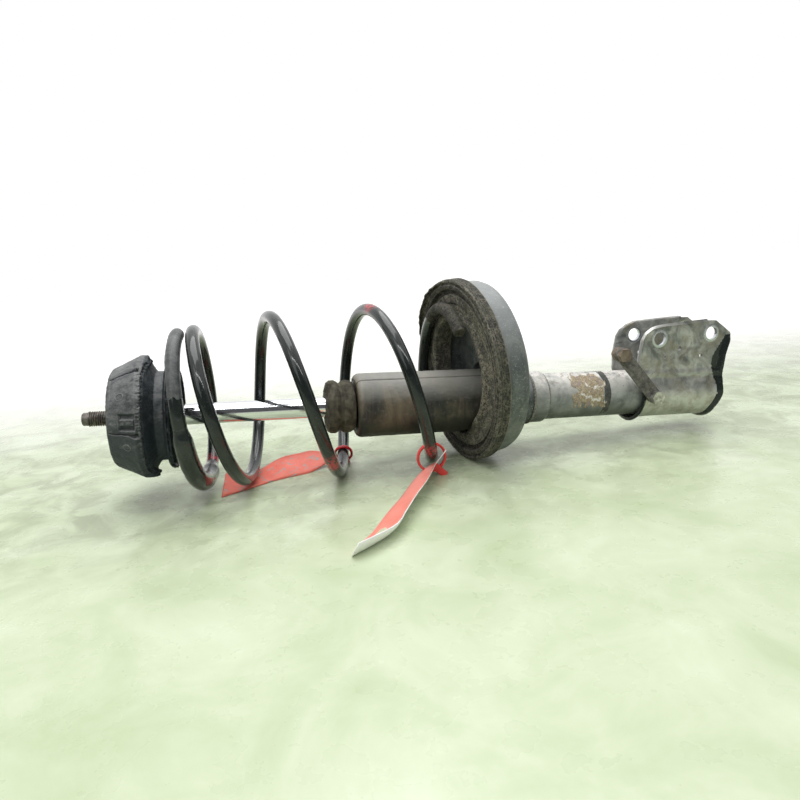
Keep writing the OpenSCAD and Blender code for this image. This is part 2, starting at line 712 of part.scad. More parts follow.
// ---- hose strap ----
strap_x = wrap_x + 11;
strap_z = 1;
strap_y = -wrap_r - spacer_l;
function strap_end() = [strap_x + strap_l * cos(strap_angle), strap_z + strap_l * sin(strap_angle)];
bolt_r = strap_bolt_d / 2;
module hose_strap() {
    color([0.25, 0.22, 0.19])
    difference() {
        translate([strap_x, strap_y, strap_z]) rotate([0, -strap_angle, 0]) union() {
            translate([0, -strap_t, -strap_w / 2]) cube([strap_l, strap_t, strap_w]);
            for (x = [0, strap_l]) rod_y(x, 0, -strap_t, 0, strap_w / 2);
        }
        rod_y(strap_x, strap_z, strap_y - strap_t - 1, strap_y + 1, bolt_r + fit);
        rod_y(strap_end()[0], strap_end()[1], strap_y - strap_t - 1, strap_y + 1, bolt_r + fit);
    }
}
module strap_spacer() {
    color([0.30, 0.27, 0.23])
    difference() {
        rod_y(strap_x, strap_z, strap_y, -wrap_r + 1.5, 6.8);
        rod_x(strap_x - 20, 40, wrap_r + fit);
        rod_y(strap_x, strap_z, strap_y - 1, -wrap_r + 3, bolt_r + fit);
    }
}
head_h = 5.5;
module strap_lower_bolt() {
    color([0.32, 0.28, 0.24])
    union() {
        hex_y(strap_x, strap_z, strap_y - strap_t - head_h, strap_y - strap_t, 13);
        rod_y(strap_x, strap_z, strap_y - strap_t - 1, -wrap_r - 0.4, bolt_r);
    }
}
module strap_upper_bolt() {
    e = strap_end();
    color([0.40, 0.27, 0.18])
    union() {
        hex_y(e[0], e[1], strap_y - strap_t - head_h, strap_y - strap_t, 13);
        rod_y(e[0], e[1], strap_y - strap_t - 1, strap_y + 12, bolt_r);
        rod_y(e[0], e[1], strap_y, strap_y + 1.5, 7.5);
        hex_y(e[0], e[1], strap_y + 1.5, strap_y + 7.5, 13);
    }
}

// ---- tags ----
// Places where the ties hold the spring, in turns
long_tie_turn = 3.4;
long_tail_l = 17;
long_tail_w = 8;
long_tail_turn = 48;
short_tie_turn = 2.56;
// Loop that hangs from the wire at a turn: its plane faces `facing`, and `down` is its low side
module tie_loop(turn, inner_d, facing, down) {
    along = coil_along(turn);
    normal = unit(facing);
    low = unit(down - (down * normal) * normal);
    lean_cos = min(abs(along * normal), 1);
    lean_tan = sqrt(1 - lean_cos * lean_cos) / lean_cos;
    drop = inner_d / 2 - wire_r / lean_cos - tie_w / 2 * lean_tan - wire_gap;
    centre = coil_at(turn) + drop * low;
    side = cross(low, normal);
    translate(centre) multmatrix([
        [low[0], side[0], normal[0], 0], [low[1], side[1], normal[1], 0],
        [low[2], side[2], normal[2], 0], [0, 0, 0, 1]])
    children();
}
module tie(inner_d) {
    rotate_extrude() translate([inner_d / 2, -tie_w / 2]) square([tie_t, tie_w]);
}
// The long tag's tie faces the near side; its tail points down and away from the mount
module tag_tie_long() {
    color([0.80, 0.12, 0.12])
    tie_loop(long_tie_turn, long_tie_d, [0, 1, 0], [0, 0, -1]) union() {
        tie(long_tie_d);
        translate([long_tie_d / 2 - 1, 0, -tie_w / 2]) rotate([0, 0, long_tail_turn])
            cube([long_tail_l, long_tail_w, tie_w - 1]);
    }
}
module tag_tie_short() {
    color([0.62, 0.10, 0.12])
    tie_loop(short_tie_turn, short_tie_d, coil_along(short_tie_turn), [0.3, 0, -1]) union() {
        tie(short_tie_d);
        translate([short_tie_d / 2 + 0.4, -3.5, -3.5]) cube([4.4, 7, 7]);
    }
}
// Strip through stations, each a row of points across it. Both sides are split along the same
// diagonals, so a twisted strip keeps its thickness.
module strip(stations, thick) {
    n = len(stations);
    m = len(stations[0]);
    function mid(i) = (stations[i][0] + stations[i][m - 1]) / 2;
    function forward(i) = mid(min(i + 1, n - 1)) - mid(max(i - 1, 0));
    function up(i) = unit(cross(forward(i), stations[i][m - 1] - stations[i][0]));
    function top(i, j) = i * m + j;
    function low(i, j) = (n + i) * m + j;
    cells = [for (i = [0:n - 2], j = [0:m - 2]) [i, j]];
    polyhedron(points = concat(
            [for (i = [0:n - 1], j = [0:m - 1]) stations[i][j] + thick / 2 * up(i)],
            [for (i = [0:n - 1], j = [0:m - 1]) stations[i][j] - thick / 2 * up(i)]),
        faces = concat(
            [for (c = cells) [top(c[0], c[1]), top(c[0], c[1] + 1), top(c[0] + 1, c[1])]],
            [for (c = cells) [top(c[0], c[1] + 1), top(c[0] + 1, c[1] + 1), top(c[0] + 1, c[1])]],
            [for (c = cells) [low(c[0], c[1] + 1), low(c[0], c[1]), low(c[0] + 1, c[1])]],
            [for (c = cells) [low(c[0], c[1] + 1), low(c[0] + 1, c[1]), low(c[0] + 1, c[1] + 1)]],
            [for (i = [0:n - 2]) [low(i, 0), top(i, 0), low(i + 1, 0)]],
            [for (i = [0:n - 2]) [top(i, 0), top(i + 1, 0), low(i + 1, 0)]],
            [for (i = [0:n - 2]) [top(i, m - 1), low(i, m - 1), top(i + 1, m - 1)]],
            [for (i = [0:n - 2]) [low(i, m - 1), low(i + 1, m - 1), top(i + 1, m - 1)]],
            [for (j = [0:m - 2]) [low(0, j), low(0, j + 1), top(0, j + 1)]],
            [for (j = [0:m - 2]) [low(0, j), top(0, j + 1), top(0, j)]],
            [for (j = [0:m - 2]) [top(n - 1, j), top(n - 1, j + 1), low(n - 1, j + 1)]],
            [for (j = [0:m - 2]) [top(n - 1, j), low(n - 1, j + 1), low(n - 1, j)]]),
        convexity = 4);
}
// The table runs through the pan's low point, and the spring's lowest bend presses the short
// tag onto it
pan_low = pan_centre + liner_d / 2 * [sin(pan_tilt), 0, -cos(pan_tilt)];
function bend_low(n) = coil_at(n) - [0, 0, wire_r + 1.3 * tag_t];
table_rise = max([for (n = [0.5:1:2.5])
    (pan_low - bend_low(n))[2] / (pan_low - bend_low(n))[0]]);
// Height of the middle of a tag that lies on the table
function table_z(x) = pan_low[2] - table_rise * (pan_low[0] - x) + 0.6 * tag_t;
function above_table(p) = [p[0], p[1], table_z(p[0]) + p[2]];
// Far edge, middle and near edge of the long tag for a width of 36: places along and across
// from the front of its tie, and heights above the table
long_tag_rows = [
    [[13.5, -0.5, 25.5], [12.5, -4.5, 26.5], [12, -6.5, 27.5]],
    [[5, -0.5, 15.5], [3.5, -4.5, 16.5], [3, -7.5, 17.5]],
    [[-6.5, -0.5, 10], [-3.5, -7.5, 13], [-1.5, -13.5, 16]],
    [[-22.5, -14.5, 4.5], [-19.5, -27.5, 10], [-16.5, -42.5, 16]],
    [[-41.5, -40.5, 0.5], [-37.5, -55.5, 7.5], [-35.5, -72.5, 15.5]],
    [[-60.5, -68.5, 0.2], [-52.5, -82.5, 3], [-52.5, -100.5, 14.5]],
    [[-81.5, -102.5, 0.2], [-71.5, -110.5, 0.2], [-66.5, -120.5, 13]],
    [[-91.5, -113.5, 0.2], [-102.5, -133.5, 0.2], [-98.5, -140.5, 13]]
];
module tag_label_long() {
    hang = coil_at(long_tie_turn) - [0, tie_w / 2, 0];
    size = tag_w / 36;
    color([0.85, 0.25, 0.22])
        strip([for (row = long_tag_rows) [for (p = row)
            above_table([hang[0] + size * p[0], hang[1] + size * p[1], size * p[2]])]], tag_t);
}
module tag_label_short() {
    start = coil_at(short_tie_turn) + [-short_tie_d * 0.57, 2, -3];
    end = [bend_low(1.5)[0] - tag_w * 0.6, 2];
    neck_w = 10;
    steps = 8;
    color([0.86, 0.36, 0.32])
    strip([for (i = [0:steps]) let (
            t = i / steps, w = neck_w + (tag_w - neck_w) * smooth(t * 3.5),
            x = start[0] + t * (end[0] - start[0]),
            y = start[1] + t * (end[1] - start[1]) + tag_w * 0.39 * sin(180 * t),
            free = pow(max(0, 1 - t / 0.8), 2),
            lift = (start[2] - table_z(start[0])) * free,
            across = unit([0.1, 1, 0.7 * free]))
        [for (j = [-1:1]) above_table([x, y, lift]) + j * w / 2 * across]], tag_t);
}

piston_rod();
stud_nut();
stud_washer();
mount_core();
mount_rubber();
bearing_upper_race();
bearing_balls();
bearing_cage();
bearing_lower_race();
upper_spring_seat();
seat_isolator();
coil_spring();
spring_sleeve();
bump_stop();
dust_cover();
damper_tube();
rod_seal();
rod_guide();
guide_bush();
rebound_stop();
piston();
piston_band();
piston_nut();
pressure_tube();
base_valve();
bottom_cap();
pan_collar();
spring_pan();
pan_liner();
knuckle_bracket();
hose_strap();
strap_spacer();
strap_lower_bolt();
strap_upper_bolt();
tag_tie_long();
tag_label_long();
tag_tie_short();
tag_label_short();
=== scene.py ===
"""Looks of the suspension strut: materials, worn surfaces and the detail that the plain solids lack."""
import math

import bmesh
import bpy
from mathutils import Matrix, Vector, noise


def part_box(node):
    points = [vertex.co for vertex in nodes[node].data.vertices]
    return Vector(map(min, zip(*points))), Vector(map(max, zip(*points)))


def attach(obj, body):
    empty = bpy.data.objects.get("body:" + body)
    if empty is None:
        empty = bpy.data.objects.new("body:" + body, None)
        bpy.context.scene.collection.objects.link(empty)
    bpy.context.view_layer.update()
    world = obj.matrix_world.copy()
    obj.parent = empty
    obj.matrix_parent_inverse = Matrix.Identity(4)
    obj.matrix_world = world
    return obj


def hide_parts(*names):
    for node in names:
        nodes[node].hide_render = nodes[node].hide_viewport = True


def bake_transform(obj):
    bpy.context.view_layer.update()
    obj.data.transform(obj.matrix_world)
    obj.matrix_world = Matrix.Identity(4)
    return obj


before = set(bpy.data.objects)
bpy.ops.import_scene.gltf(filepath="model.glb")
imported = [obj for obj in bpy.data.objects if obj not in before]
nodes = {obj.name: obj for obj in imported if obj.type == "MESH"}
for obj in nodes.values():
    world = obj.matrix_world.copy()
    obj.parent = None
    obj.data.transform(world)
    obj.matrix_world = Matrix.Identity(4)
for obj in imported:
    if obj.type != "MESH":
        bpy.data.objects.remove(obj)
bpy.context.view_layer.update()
MM = 0.001
TAU = 2 * math.pi


# ---------------------------------------------------------------- small helpers
def rad(a):
    return math.radians(a)


def clamp(t, lo=0.0, hi=1.0):
    return max(lo, min(hi, t))


def smooth(t):
    t = clamp(t)
    return t * t * (3 - 2 * t)


def bump(t, centre, width):
    """1 at centre, falling smoothly to 0 at width on both sides."""
    return 1 - smooth(abs(t - centre) / width)


def n3(x, y, z, scale, seed=0.0):
    """Noise from about -1 to 1 at a place in mm."""
    return noise.noise(Vector((x / scale + seed, y / scale - seed * 0.7, z / scale + seed * 0.3)))


def fract(x, y, z, scale, seed=0.0, octaves=4):
    return noise.fractal(Vector((x / scale + seed, y / scale - seed, z / scale + seed * 0.5)),
                         0.9, 2.0, octaves)


def angle_gap(a, b):
    """Smallest difference between two angles in degrees, with its sign."""
    return (a - b + 180) % 360 - 180


def mesh_object(name, verts, faces, mats=(), smooth_shade=True, face_mats=None):
    """A mesh object from points in millimetres."""
    me = bpy.data.meshes.new(name)
    me.from_pydata([(v[0] * MM, v[1] * MM, v[2] * MM) for v in verts], [], faces)
    ob = bpy.data.objects.new(name, me)
    bpy.context.collection.objects.link(ob)
    for m in mats:
        me.materials.append(m)
    if face_mats:
        for p, i in zip(me.polygons, face_mats):
            p.material_index = i
    bm = bmesh.new()
    bm.from_mesh(me)
    bmesh.ops.recalc_face_normals(bm, faces=bm.faces)
    bm.to_mesh(me)
    bm.free()
    if smooth_shade:
        for p in me.polygons:
            p.use_smooth = True
    return ob


def ring_faces(rings, sides, close_rings=False, caps=False):
    """Faces of a tube whose points run ring by ring."""
    faces = []
    for i in range(rings if close_rings else rings - 1):
        a, b = i * sides, ((i + 1) % rings) * sides
        faces += [(a + k, a + (k + 1) % sides, b + (k + 1) % sides, b + k) for k in range(sides)]
    if caps:
        faces.append(tuple(range(sides))[::-1])
        faces.append(tuple((rings - 1) * sides + k for k in range(sides)))
    return faces


def grid_faces(rows, cols):
    """Faces of a sheet of rows by cols squares whose points run row by row."""
    n = cols + 1
    return [(i * n + j, i * n + j + 1, (i + 1) * n + j + 1, (i + 1) * n + j)
            for i in range(rows) for j in range(cols)]


def polar(x, r, a):
    """A point round the damper axis: angle 0 is the near side, 90 the top."""
    return x, -r * math.cos(rad(a)), r * math.sin(rad(a))


def resample(profile, step):
    """Adds points along a profile of (x, r) so that none lie further apart than step."""
    out = [profile[0]]
    for a, b in zip(profile, profile[1:]):
        n = max(1, math.ceil(math.dist(a, b) / step))
        out += [(a[0] + (b[0] - a[0]) * i / n, a[1] + (b[1] - a[1]) * i / n) for i in range(1, n + 1)]
    return out


def lathe(name, profile, mats, sides=128, move=None, close=True, place=None, step=None):
    """Revolves (x, r) round the damper axis. move(x, r, angle, nx, nr) gives a new (x, r)."""
    if step:
        profile = resample(profile + ([profile[0]] if close else []), step)
        if close:
            profile = profile[:-1]
    verts = []
    n = len(profile)
    for i, (x, r) in enumerate(profile):
        if close:
            p, q = profile[i - 1], profile[(i + 1) % n]
        else:
            p, q = profile[max(i - 1, 0)], profile[min(i + 1, n - 1)]
        tx, tr = q[0] - p[0], q[1] - p[1]
        length = math.hypot(tx, tr) or 1
        for k in range(sides):
            a = 360 * k / sides
            v = Vector(polar(*(move(x, r, a, -tr / length, tx / length) if move else (x, r)), a))
            verts.append(place(v) if place else v)
    return mesh_object(name, verts, ring_faces(n, sides, close_rings=close), mats)


def part(obj, body, replaces=()):
    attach(obj, body)
    if replaces:
        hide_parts(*replaces)
    return obj


def modifier(obj, kind, **values):
    m = obj.modifiers.new(kind.lower(), kind)
    for k, v in values.items():
        setattr(m, k, v)


def bevel(ob, width_mm, angle, segments=2, **values):
    modifier(ob, "BEVEL", width=width_mm * MM, segments=segments, limit_method="ANGLE", angle_limit=rad(angle),
             **values)


def apply_modifiers(ob):
    dg = bpy.context.evaluated_depsgraph_get()
    me = bpy.data.meshes.new_from_object(ob.evaluated_get(dg), depsgraph=dg)
    ob.modifiers.clear()
    ob.data = me


def drill(ob, x, z, r, sides=48):
    """Cuts a round hole along Y."""
    verts = [(x + r * math.cos(TAU * k / sides), y, z + r * math.sin(TAU * k / sides))
             for y in (-60, 60) for k in range(sides)]
    cutter = mesh_object("cut", verts, ring_faces(2, sides, caps=True), ob.data.materials[:1], smooth_shade=False)
    modifier(ob, "BOOLEAN", operation="DIFFERENCE", object=cutter, solver="EXACT")
    apply_modifiers(ob)
    bpy.data.objects.remove(cutter)


# ---------------------------------------------------------------- materials
class Nodes:
    """Builds the nodes of one tree; most methods return an output socket."""

    def __init__(self, tree):
        self.t = tree
        self.coords = self.node("TexCoord").outputs
        self.p = self.coords["Object"]

    def put(self, socket, value):
        if hasattr(value, "node"):
            self.t.links.new(value, socket)
        else:
            socket.default_value = value

    def node(self, kind, **inputs):
        """A shader node whose inputs are set, or linked, by name."""
        n = self.t.nodes.new("ShaderNode" + kind)
        for name, value in inputs.items():
            self.put(n.inputs[name.replace("_", " ")], value)
        return n

    def scaled(self, xyz):
        return self.node("Mapping", Vector=self.p, Scale=xyz).outputs["Vector"]

    def noise(self, size_mm, detail=4, rough=0.55, warp=0.0, source=None, offset=0.0):
        where = source or self.p
        if offset:
            where = self.node("Mapping", Vector=where, Location=(offset, offset * 0.7, -offset)).outputs["Vector"]
        return self.node("TexNoise", Vector=where, Scale=1 / (size_mm * MM), Detail=detail, Roughness=rough,
                         Distortion=warp).outputs["Fac"]

    def span(self, value, lo, hi, a=0.0, b=1.0):
        """Takes a value between lo and hi to one between a and b, and no further."""
        return self.node("MapRange", Value=value, From_Min=lo, From_Max=hi, To_Min=a, To_Max=b).outputs["Result"]

    def blot(self, lo, hi, *args, **kw):
        """Noise cut into blots: 0 where it is under lo, 1 where it is over hi."""
        return self.span(self.noise(*args, **kw), lo, hi)

    def math(self, op, a, b=0.0, clamped=False):
        n = self.node("Math")
        n.operation = op
        n.use_clamp = clamped
        self.put(n.inputs[0], a)
        self.put(n.inputs[1], b)
        return n.outputs[0]

    def mul(self, a, b):
        return self.math("MULTIPLY", a, b)

    def add(self, a, b, clamped=False):
        return self.math("ADD", a, b, clamped)

    def most(self, a, b):
        return self.math("MAXIMUM", a, b)

    def mix(self, fac, a, b):
        n = self.node("Mix")
        n.data_type = "RGBA"
        self.put(n.inputs["Factor"], fac)
        for s, v in ((n.inputs["A"], a), (n.inputs["B"], b)):
            self.put(s, v if hasattr(v, "node") else (*v, 1))
        return n.outputs["Result"]

    def split(self, vector):
        return self.node("SeparateXYZ", Vector=vector).outputs

    def xyz(self):
        return self.split(self.p)

    def normal(self):
        return self.split(self.node("NewGeometry").outputs["Normal"])

    def edge(self, lo, hi):
        """About 1 on worn outer edges of a dense mesh."""
        return self.span(self.node("NewGeometry").outputs["Pointiness"], lo, hi)

    def near(self, point_mm, radius_mm, soft, flat=None):
        """1 near a point, 0 past the radius. flat leaves one axis out of the distance."""
        v = self.node("VectorMath")
        v.operation = "DISTANCE"
        source = self.p
        point = [c * MM for c in point_mm]
        if flat is not None:
            kept = [1, 1, 1]
            kept[flat] = point[flat] = 0
            source = self.scaled(kept)
        self.put(v.inputs[0], source)
        self.put(v.inputs[1], point)
        return self.span(v.outputs["Value"], radius_mm * MM * (1 - soft), radius_mm * MM, 1, 0)


class Mat(Nodes):
    """One material: a base colour, tints laid over it, then what else varies."""

    def __init__(self, name, rough, metal=0.0, **fixed):
        self.m = bpy.data.materials.new(name)
        self.m.use_nodes = True
        super().__init__(self.m.node_tree)
        self.b = self.t.nodes["Principled BSDF"]
        self.shader(Roughness=rough, Metallic=metal, **fixed)

    def shader(self, **inputs):
        for k, v in inputs.items():
            self.put(self.b.inputs[k.replace("_", " ")], v)

    def base(self, fac, a, b):
        self.col = self.mix(fac, a, b)

    def tint(self, fac, colour, amount=1.0):
        self.col = self.mix(self.mul(fac, amount) if amount < 1 else fac, self.col, colour)

    def done(self, height=None, mm=0.1, strength=1.0, **inputs):
        """Links the colour, the relief and the shader's other inputs, and gives the material."""
        self.shader(Base_Color=self.col, **inputs)
        if height is not None:
            bump_map = self.node("Bump", Strength=strength, Distance=mm * MM, Height=height)
            self.shader(Normal=bump_map.outputs["Normal"])
        return self.m


def mat_rubber(name, dark, dusty, dust_and_top_light=0.5, rough=0.62, grain=0.8, blue=0.0):
    """Old rubber: paler on what faces up, from a dusting and painted top light, with smears, pits and paler worn
    edges; painted blue-grey shade on what faces down.
    """
    m = Mat(name, rough, Specular_IOR_Level=0.35)
    z = m.normal()[2]
    # what faces up is paler: a dusting and painted top light
    amount = m.add(m.mul(m.span(z, -0.25, 1.0), dust_and_top_light),
                   m.span(m.noise(14, 5, 0.6, 0.6), 0.35, 0.75, -0.35, 0.4), clamped=True)
    amount = m.add(amount, m.span(m.noise(1.6, 4, 0.6), 0.4, 0.8, -0.12, 0.18), clamped=True)
    m.base(amount, dark, dusty)
    m.tint(m.edge(0.53, 0.6), [min(1, c * 1.35 + 0.03) for c in dusty], 0.55)
    if blue:
        # painted shade: a blue-grey tint on what faces down
        m.tint(m.span(z, 0.2, -0.8), (0.035, 0.055, 0.075), blue)
    return m.done(m.add(m.mul(m.noise(grain, 5, 0.65), 0.6), m.mul(m.noise(6, 3), 0.8)), 0.35, 0.6,
                  Roughness=m.span(m.noise(5, 3), 0.3, 0.7, rough - 0.1, rough + 0.15))


def mat_gloss_black(name, marks=()):
    """Black dipped paint: dark green-grey, scuffed, with red crayon marks; paler on what faces up, from a dusting
    and painted top light.
    """
    m = Mat(name, 0.3, Specular_IOR_Level=0.25, Coat_Weight=0.5, Coat_Roughness=0.07)
    m.base(m.blot(0.35, 0.7, 30, 4, 0.6, 0.4), (0.008, 0.012, 0.011), (0.020, 0.027, 0.025))
    scuff = m.mul(m.blot(0.6, 0.72, 3.0, 4, 0.7, 1.5), m.blot(0.48, 0.62, 18, 3))
    m.tint(scuff, (0.16, 0.17, 0.17), 0.5)
    m.tint(m.blot(0.7, 0.76, 1.1, 2), (0.24, 0.24, 0.23), 0.5)
    # painted top light with a dusting: what faces up turns paler grey
    dust_and_top_light = m.mul(m.span(m.normal()[2], 0.5, 1.0), m.blot(0.45, 0.8, 9, 4))
    m.tint(dust_and_top_light, (0.13, 0.135, 0.14), 0.22)
    for at, r in marks:
        m.tint(m.mul(m.near(at, r, 0.6), m.blot(0.38, 0.5, 4, 3)), (0.42, 0.03, 0.04))
    rough = m.add(m.span(m.noise(7, 4, 0.6), 0.3, 0.7, 0.12, 0.28), m.mul(scuff, 0.3))
    return m.done(m.add(m.noise(2.2, 3), m.mul(scuff, 0.6)), 0.08, 0.5, Roughness=m.add(rough, m.mul(dust_and_top_light, 0.35)))


def mat_chrome(name):
    m = Mat(name, 0.07, metal=1.0)
    streak = m.noise(60, 3, 0.5, source=m.scaled((0.03, 1, 1)))
    fine = m.noise(3, 4, 0.6, source=m.scaled((0.02, 1, 1)))
    dull = m.blot(0.6, 0.72, 16, 3, 0.6, 0.8)
    m.base(m.mul(dull, 0.35), (0.80, 0.82, 0.85), (0.30, 0.31, 0.33))
    m.tint(m.span(fine, 0.55, 0.75, 0, 0.3), (0.55, 0.57, 0.60))
    return m.done(fine, 0.01, 0.3, Roughness=m.add(m.span(streak, 0.35, 0.7, 0.05, 0.14), m.mul(dull, 0.12)))


def mat_steel(name, light, dark, rust, rough=0.38, metal=0.85):
    m = Mat(name, rough, metal)
    cloud = m.noise(5, 5, 0.65, 0.3)
    m.base(m.span(cloud, 0.35, 0.65), dark, light)
    r = m.mul(m.blot(0.5, 0.68, 3.5, 5, 0.7, 0.5), rust)
    m.tint(r, (0.16, 0.075, 0.035))
    return m.done(m.add(m.noise(0.9, 4), m.mul(r, 0.8)), 0.08, 0.6,
                  Metallic=m.math("SUBTRACT", metal, m.mul(r, 0.8), clamped=True),
                  Roughness=m.add(m.span(cloud, 0.3, 0.7, rough + 0.12, rough - 0.06), m.mul(r, 0.35)))


def mat_tube(name):
    """Grey paint worn through, with rust on what faces up, pale blots on top that are dirt and a painted highlight,
    and painted shade underneath.
    """
    m = Mat(name, 0.5, Specular_IOR_Level=0.4)
    z = m.normal()[2]
    cloud = m.noise(22, 5, 0.62, 0.5)
    m.base(m.span(cloud, 0.35, 0.68), (0.14, 0.15, 0.145), (0.39, 0.405, 0.39))
    # pale blots on what faces up: dirt and a painted highlight
    m.tint(m.mul(m.span(z, 0.15, 0.9), m.blot(0.25, 0.55, 10, 4)), (0.74, 0.72, 0.67))
    # painted shade: darker on what faces down
    m.tint(m.span(z, -0.1, -0.8), (0.050, 0.058, 0.045), 0.7)
    m.tint(m.blot(0.66, 0.74, 1.3, 3), (0.44, 0.44, 0.42), 0.7)
    m.tint(m.blot(0.68, 0.74, 1.9, 3, offset=3.3), (0.03, 0.028, 0.026), 0.75)
    rust = m.mul(m.span(z, 0.35, 1.0), m.blot(0.52, 0.66, 6, 6, 0.72, 0.8, offset=1.7))
    m.tint(rust, (0.13, 0.075, 0.045), 0.75)
    return m.done(m.add(m.mul(m.noise(1.6, 5, 0.7), 0.7), m.mul(rust, 1.2)), 0.2, 0.7,
                  Roughness=m.add(m.span(cloud, 0.3, 0.7, 0.5, 0.36), m.mul(rust, 0.35)))


def mat_pan(name):
    """Smooth blue-grey paint with pale specks and chips, painted top light on what faces up and painted shade inside
    the hole.
    """
    m = Mat(name, 0.42, Specular_IOR_Level=0.45)
    z = m.normal()[2]
    m.base(m.blot(0.35, 0.7, 28, 4, 0.55, 0.4), (0.045, 0.056, 0.056), (0.13, 0.146, 0.146))
    m.tint(m.blot(0.50, 0.62, 17, 5, 0.65, 0.8, offset=9), (0.17, 0.18, 0.165), 0.6)
    # painted top light: paler on what faces up
    m.tint(m.span(z, 0.0, 1.0), (0.32, 0.335, 0.335), 0.75)
    m.tint(m.blot(0.52, 0.72, 2.6, 5, 0.7), (0.33, 0.34, 0.33), 0.45)
    speck = m.blot(0.66, 0.72, 1.5, 2, offset=5.1)
    m.tint(speck, (0.52, 0.54, 0.52), 0.8)
    m.tint(m.blot(0.72, 0.77, 2.4, 2, offset=2.2), (0.02, 0.025, 0.03), 0.8)
    # painted shade inside the pan's hole
    inside = m.mul(m.near((0, 0, 31.5), 58, 0.1, flat=0), m.span(m.xyz()[0], 0.350, 0.356, 1, 0))
    m.tint(inside, (0.012, 0.013, 0.013), 0.85)
    return m.done(m.add(m.mul(m.noise(3, 4), 0.6), m.mul(speck, 0.5)), 0.12, 0.5,
                  Roughness=m.span(m.noise(8, 4), 0.3, 0.7, 0.34, 0.55))


def mat_liner(name, tone=1.0, edge_highlight=0.5):
    """Rubber under years of road dirt: dark body, beige crust on the lips, and a painted highlight on sharp edges.
    """
    m = Mat(name, 0.8, Specular_IOR_Level=0.25)
    fine = m.noise(1.7, 6, 0.72)
    crust = m.noise(9, 5, 0.65, 0.7)

    def shade(*c):
        return [v * tone for v in c]

    m.base(m.span(fine, 0.38, 0.68), shade(0.028, 0.03, 0.028), shade(0.13, 0.125, 0.105))
    m.tint(m.mul(m.span(crust, 0.40, 0.58), m.span(fine, 0.42, 0.56)), shade(0.32, 0.295, 0.225), 0.85)
    # painted highlight: a pale tint on sharp edges
    m.tint(m.edge(0.52, 0.58), (0.38, 0.36, 0.31), edge_highlight)
    m.tint(m.blot(0.5, 0.7, 15, 3, offset=4), shade(0.12, 0.13, 0.08), 0.3)
    return m.done(m.add(m.mul(fine, 0.9), crust), 0.5, 0.8)


def mat_cover(name):
    """Dark brown-black plastic with tan smears, painted shade at its far end by the pan, a painted highlight on top
    and painted shade underneath.
    """
    m = Mat(name, 0.5, Specular_IOR_Level=0.4)
    smear = m.noise(24, 4, 0.62, 0.6, source=m.scaled((1, 0.42, 0.42)))
    fine = m.noise(3, 4, 0.6)
    z = m.normal()[2]
    m.base(m.span(smear, 0.42, 0.62), (0.030, 0.031, 0.028), (0.150, 0.125, 0.085))
    # painted shade: blotchy darkening at the far end, next to the pan
    painted_shade_by_pan = m.mul(m.span(m.xyz()[0], 0.270, 0.300), m.blot(0.35, 0.5, 20, 3, offset=3))
    m.tint(painted_shade_by_pan, (0.022, 0.024, 0.021), 0.75)
    # painted highlight on what faces up
    m.tint(m.span(z, 0.2, 0.95), (0.35, 0.345, 0.31), 0.8)
    m.tint(m.span(fine, 0.55, 0.8), (0.24, 0.23, 0.21), 0.4)
    # painted shade on what faces down
    m.tint(m.span(z, -0.15, -0.7), (0.018, 0.021, 0.015), 0.8)
    return m.done(m.add(fine, m.mul(smear, 0.5)), 0.12, 0.5, Roughness=m.span(m.noise(6, 3), 0.3, 0.7, 0.42, 0.62))


def mat_foam(name):
    m = Mat(name, 0.85, Specular_IOR_Level=0.2)
    fine = m.noise(1.2, 6, 0.7)
    m.base(m.blot(0.35, 0.65, 8, 4, 0.6, 0.5), (0.040, 0.037, 0.028), (0.115, 0.105, 0.078))
    m.tint(m.edge(0.52, 0.6), (0.22, 0.21, 0.17), 0.5)
    m.tint(m.span(fine, 0.6, 0.72), (0.035, 0.03, 0.025), 0.5)
    return m.done(fine, 0.4, 0.8)


def mat_bracket(name, holes, ring_r):
    """Worn zinc over black: cloudy greys, bright edges, painted light on the low part and on what faces up, and
    rings round the holes.
    """
    m = Mat(name, 0.42, Specular_IOR_Level=0.45)
    cloud = m.noise(20, 5, 0.62, 0.8)
    m.base(m.span(cloud, 0.36, 0.62), (0.15, 0.155, 0.148), (0.52, 0.525, 0.50))
    m.tint(m.blot(0.5, 0.66, 9, 4, offset=2), (0.17, 0.185, 0.21), 0.4)
    # painted light: paler on the low part of the bracket
    m.tint(m.span(m.xyz()[2], -0.004, 0.012, 1, 0), (0.76, 0.76, 0.69), 0.55)
    m.tint(m.blot(0.50, 0.62, 14, 5, 0.65, offset=7), (0.30, 0.27, 0.20), 0.6)
    # painted top light: paler on what faces up
    m.tint(m.span(m.normal()[2], 0.2, 1.0), (0.35, 0.34, 0.31), 0.5)
    fine = m.noise(1.5, 5, 0.7)
    m.tint(m.span(fine, 0.62, 0.72), (0.40, 0.40, 0.38), 0.55)
    m.tint(m.span(fine, 0.38, 0.3), (0.03, 0.03, 0.028), 0.6)
    m.tint(m.edge(0.53, 0.6), (0.46, 0.46, 0.45), 0.6)
    ring = m.most(*[m.near((x, 0, z), ring_r, 0.12, flat=1) for x, z in holes])
    m.tint(ring, (0.62, 0.65, 0.68))
    return m.done(m.add(m.mul(fine, 0.5), m.mul(m.noise(5, 4), 0.7)), 0.18, 0.6,
                  Metallic=m.add(0.45, m.mul(ring, 0.5)),
                  Roughness=m.math("SUBTRACT", m.span(cloud, 0.3, 0.7, 0.48, 0.26), m.mul(ring, 0.12)))


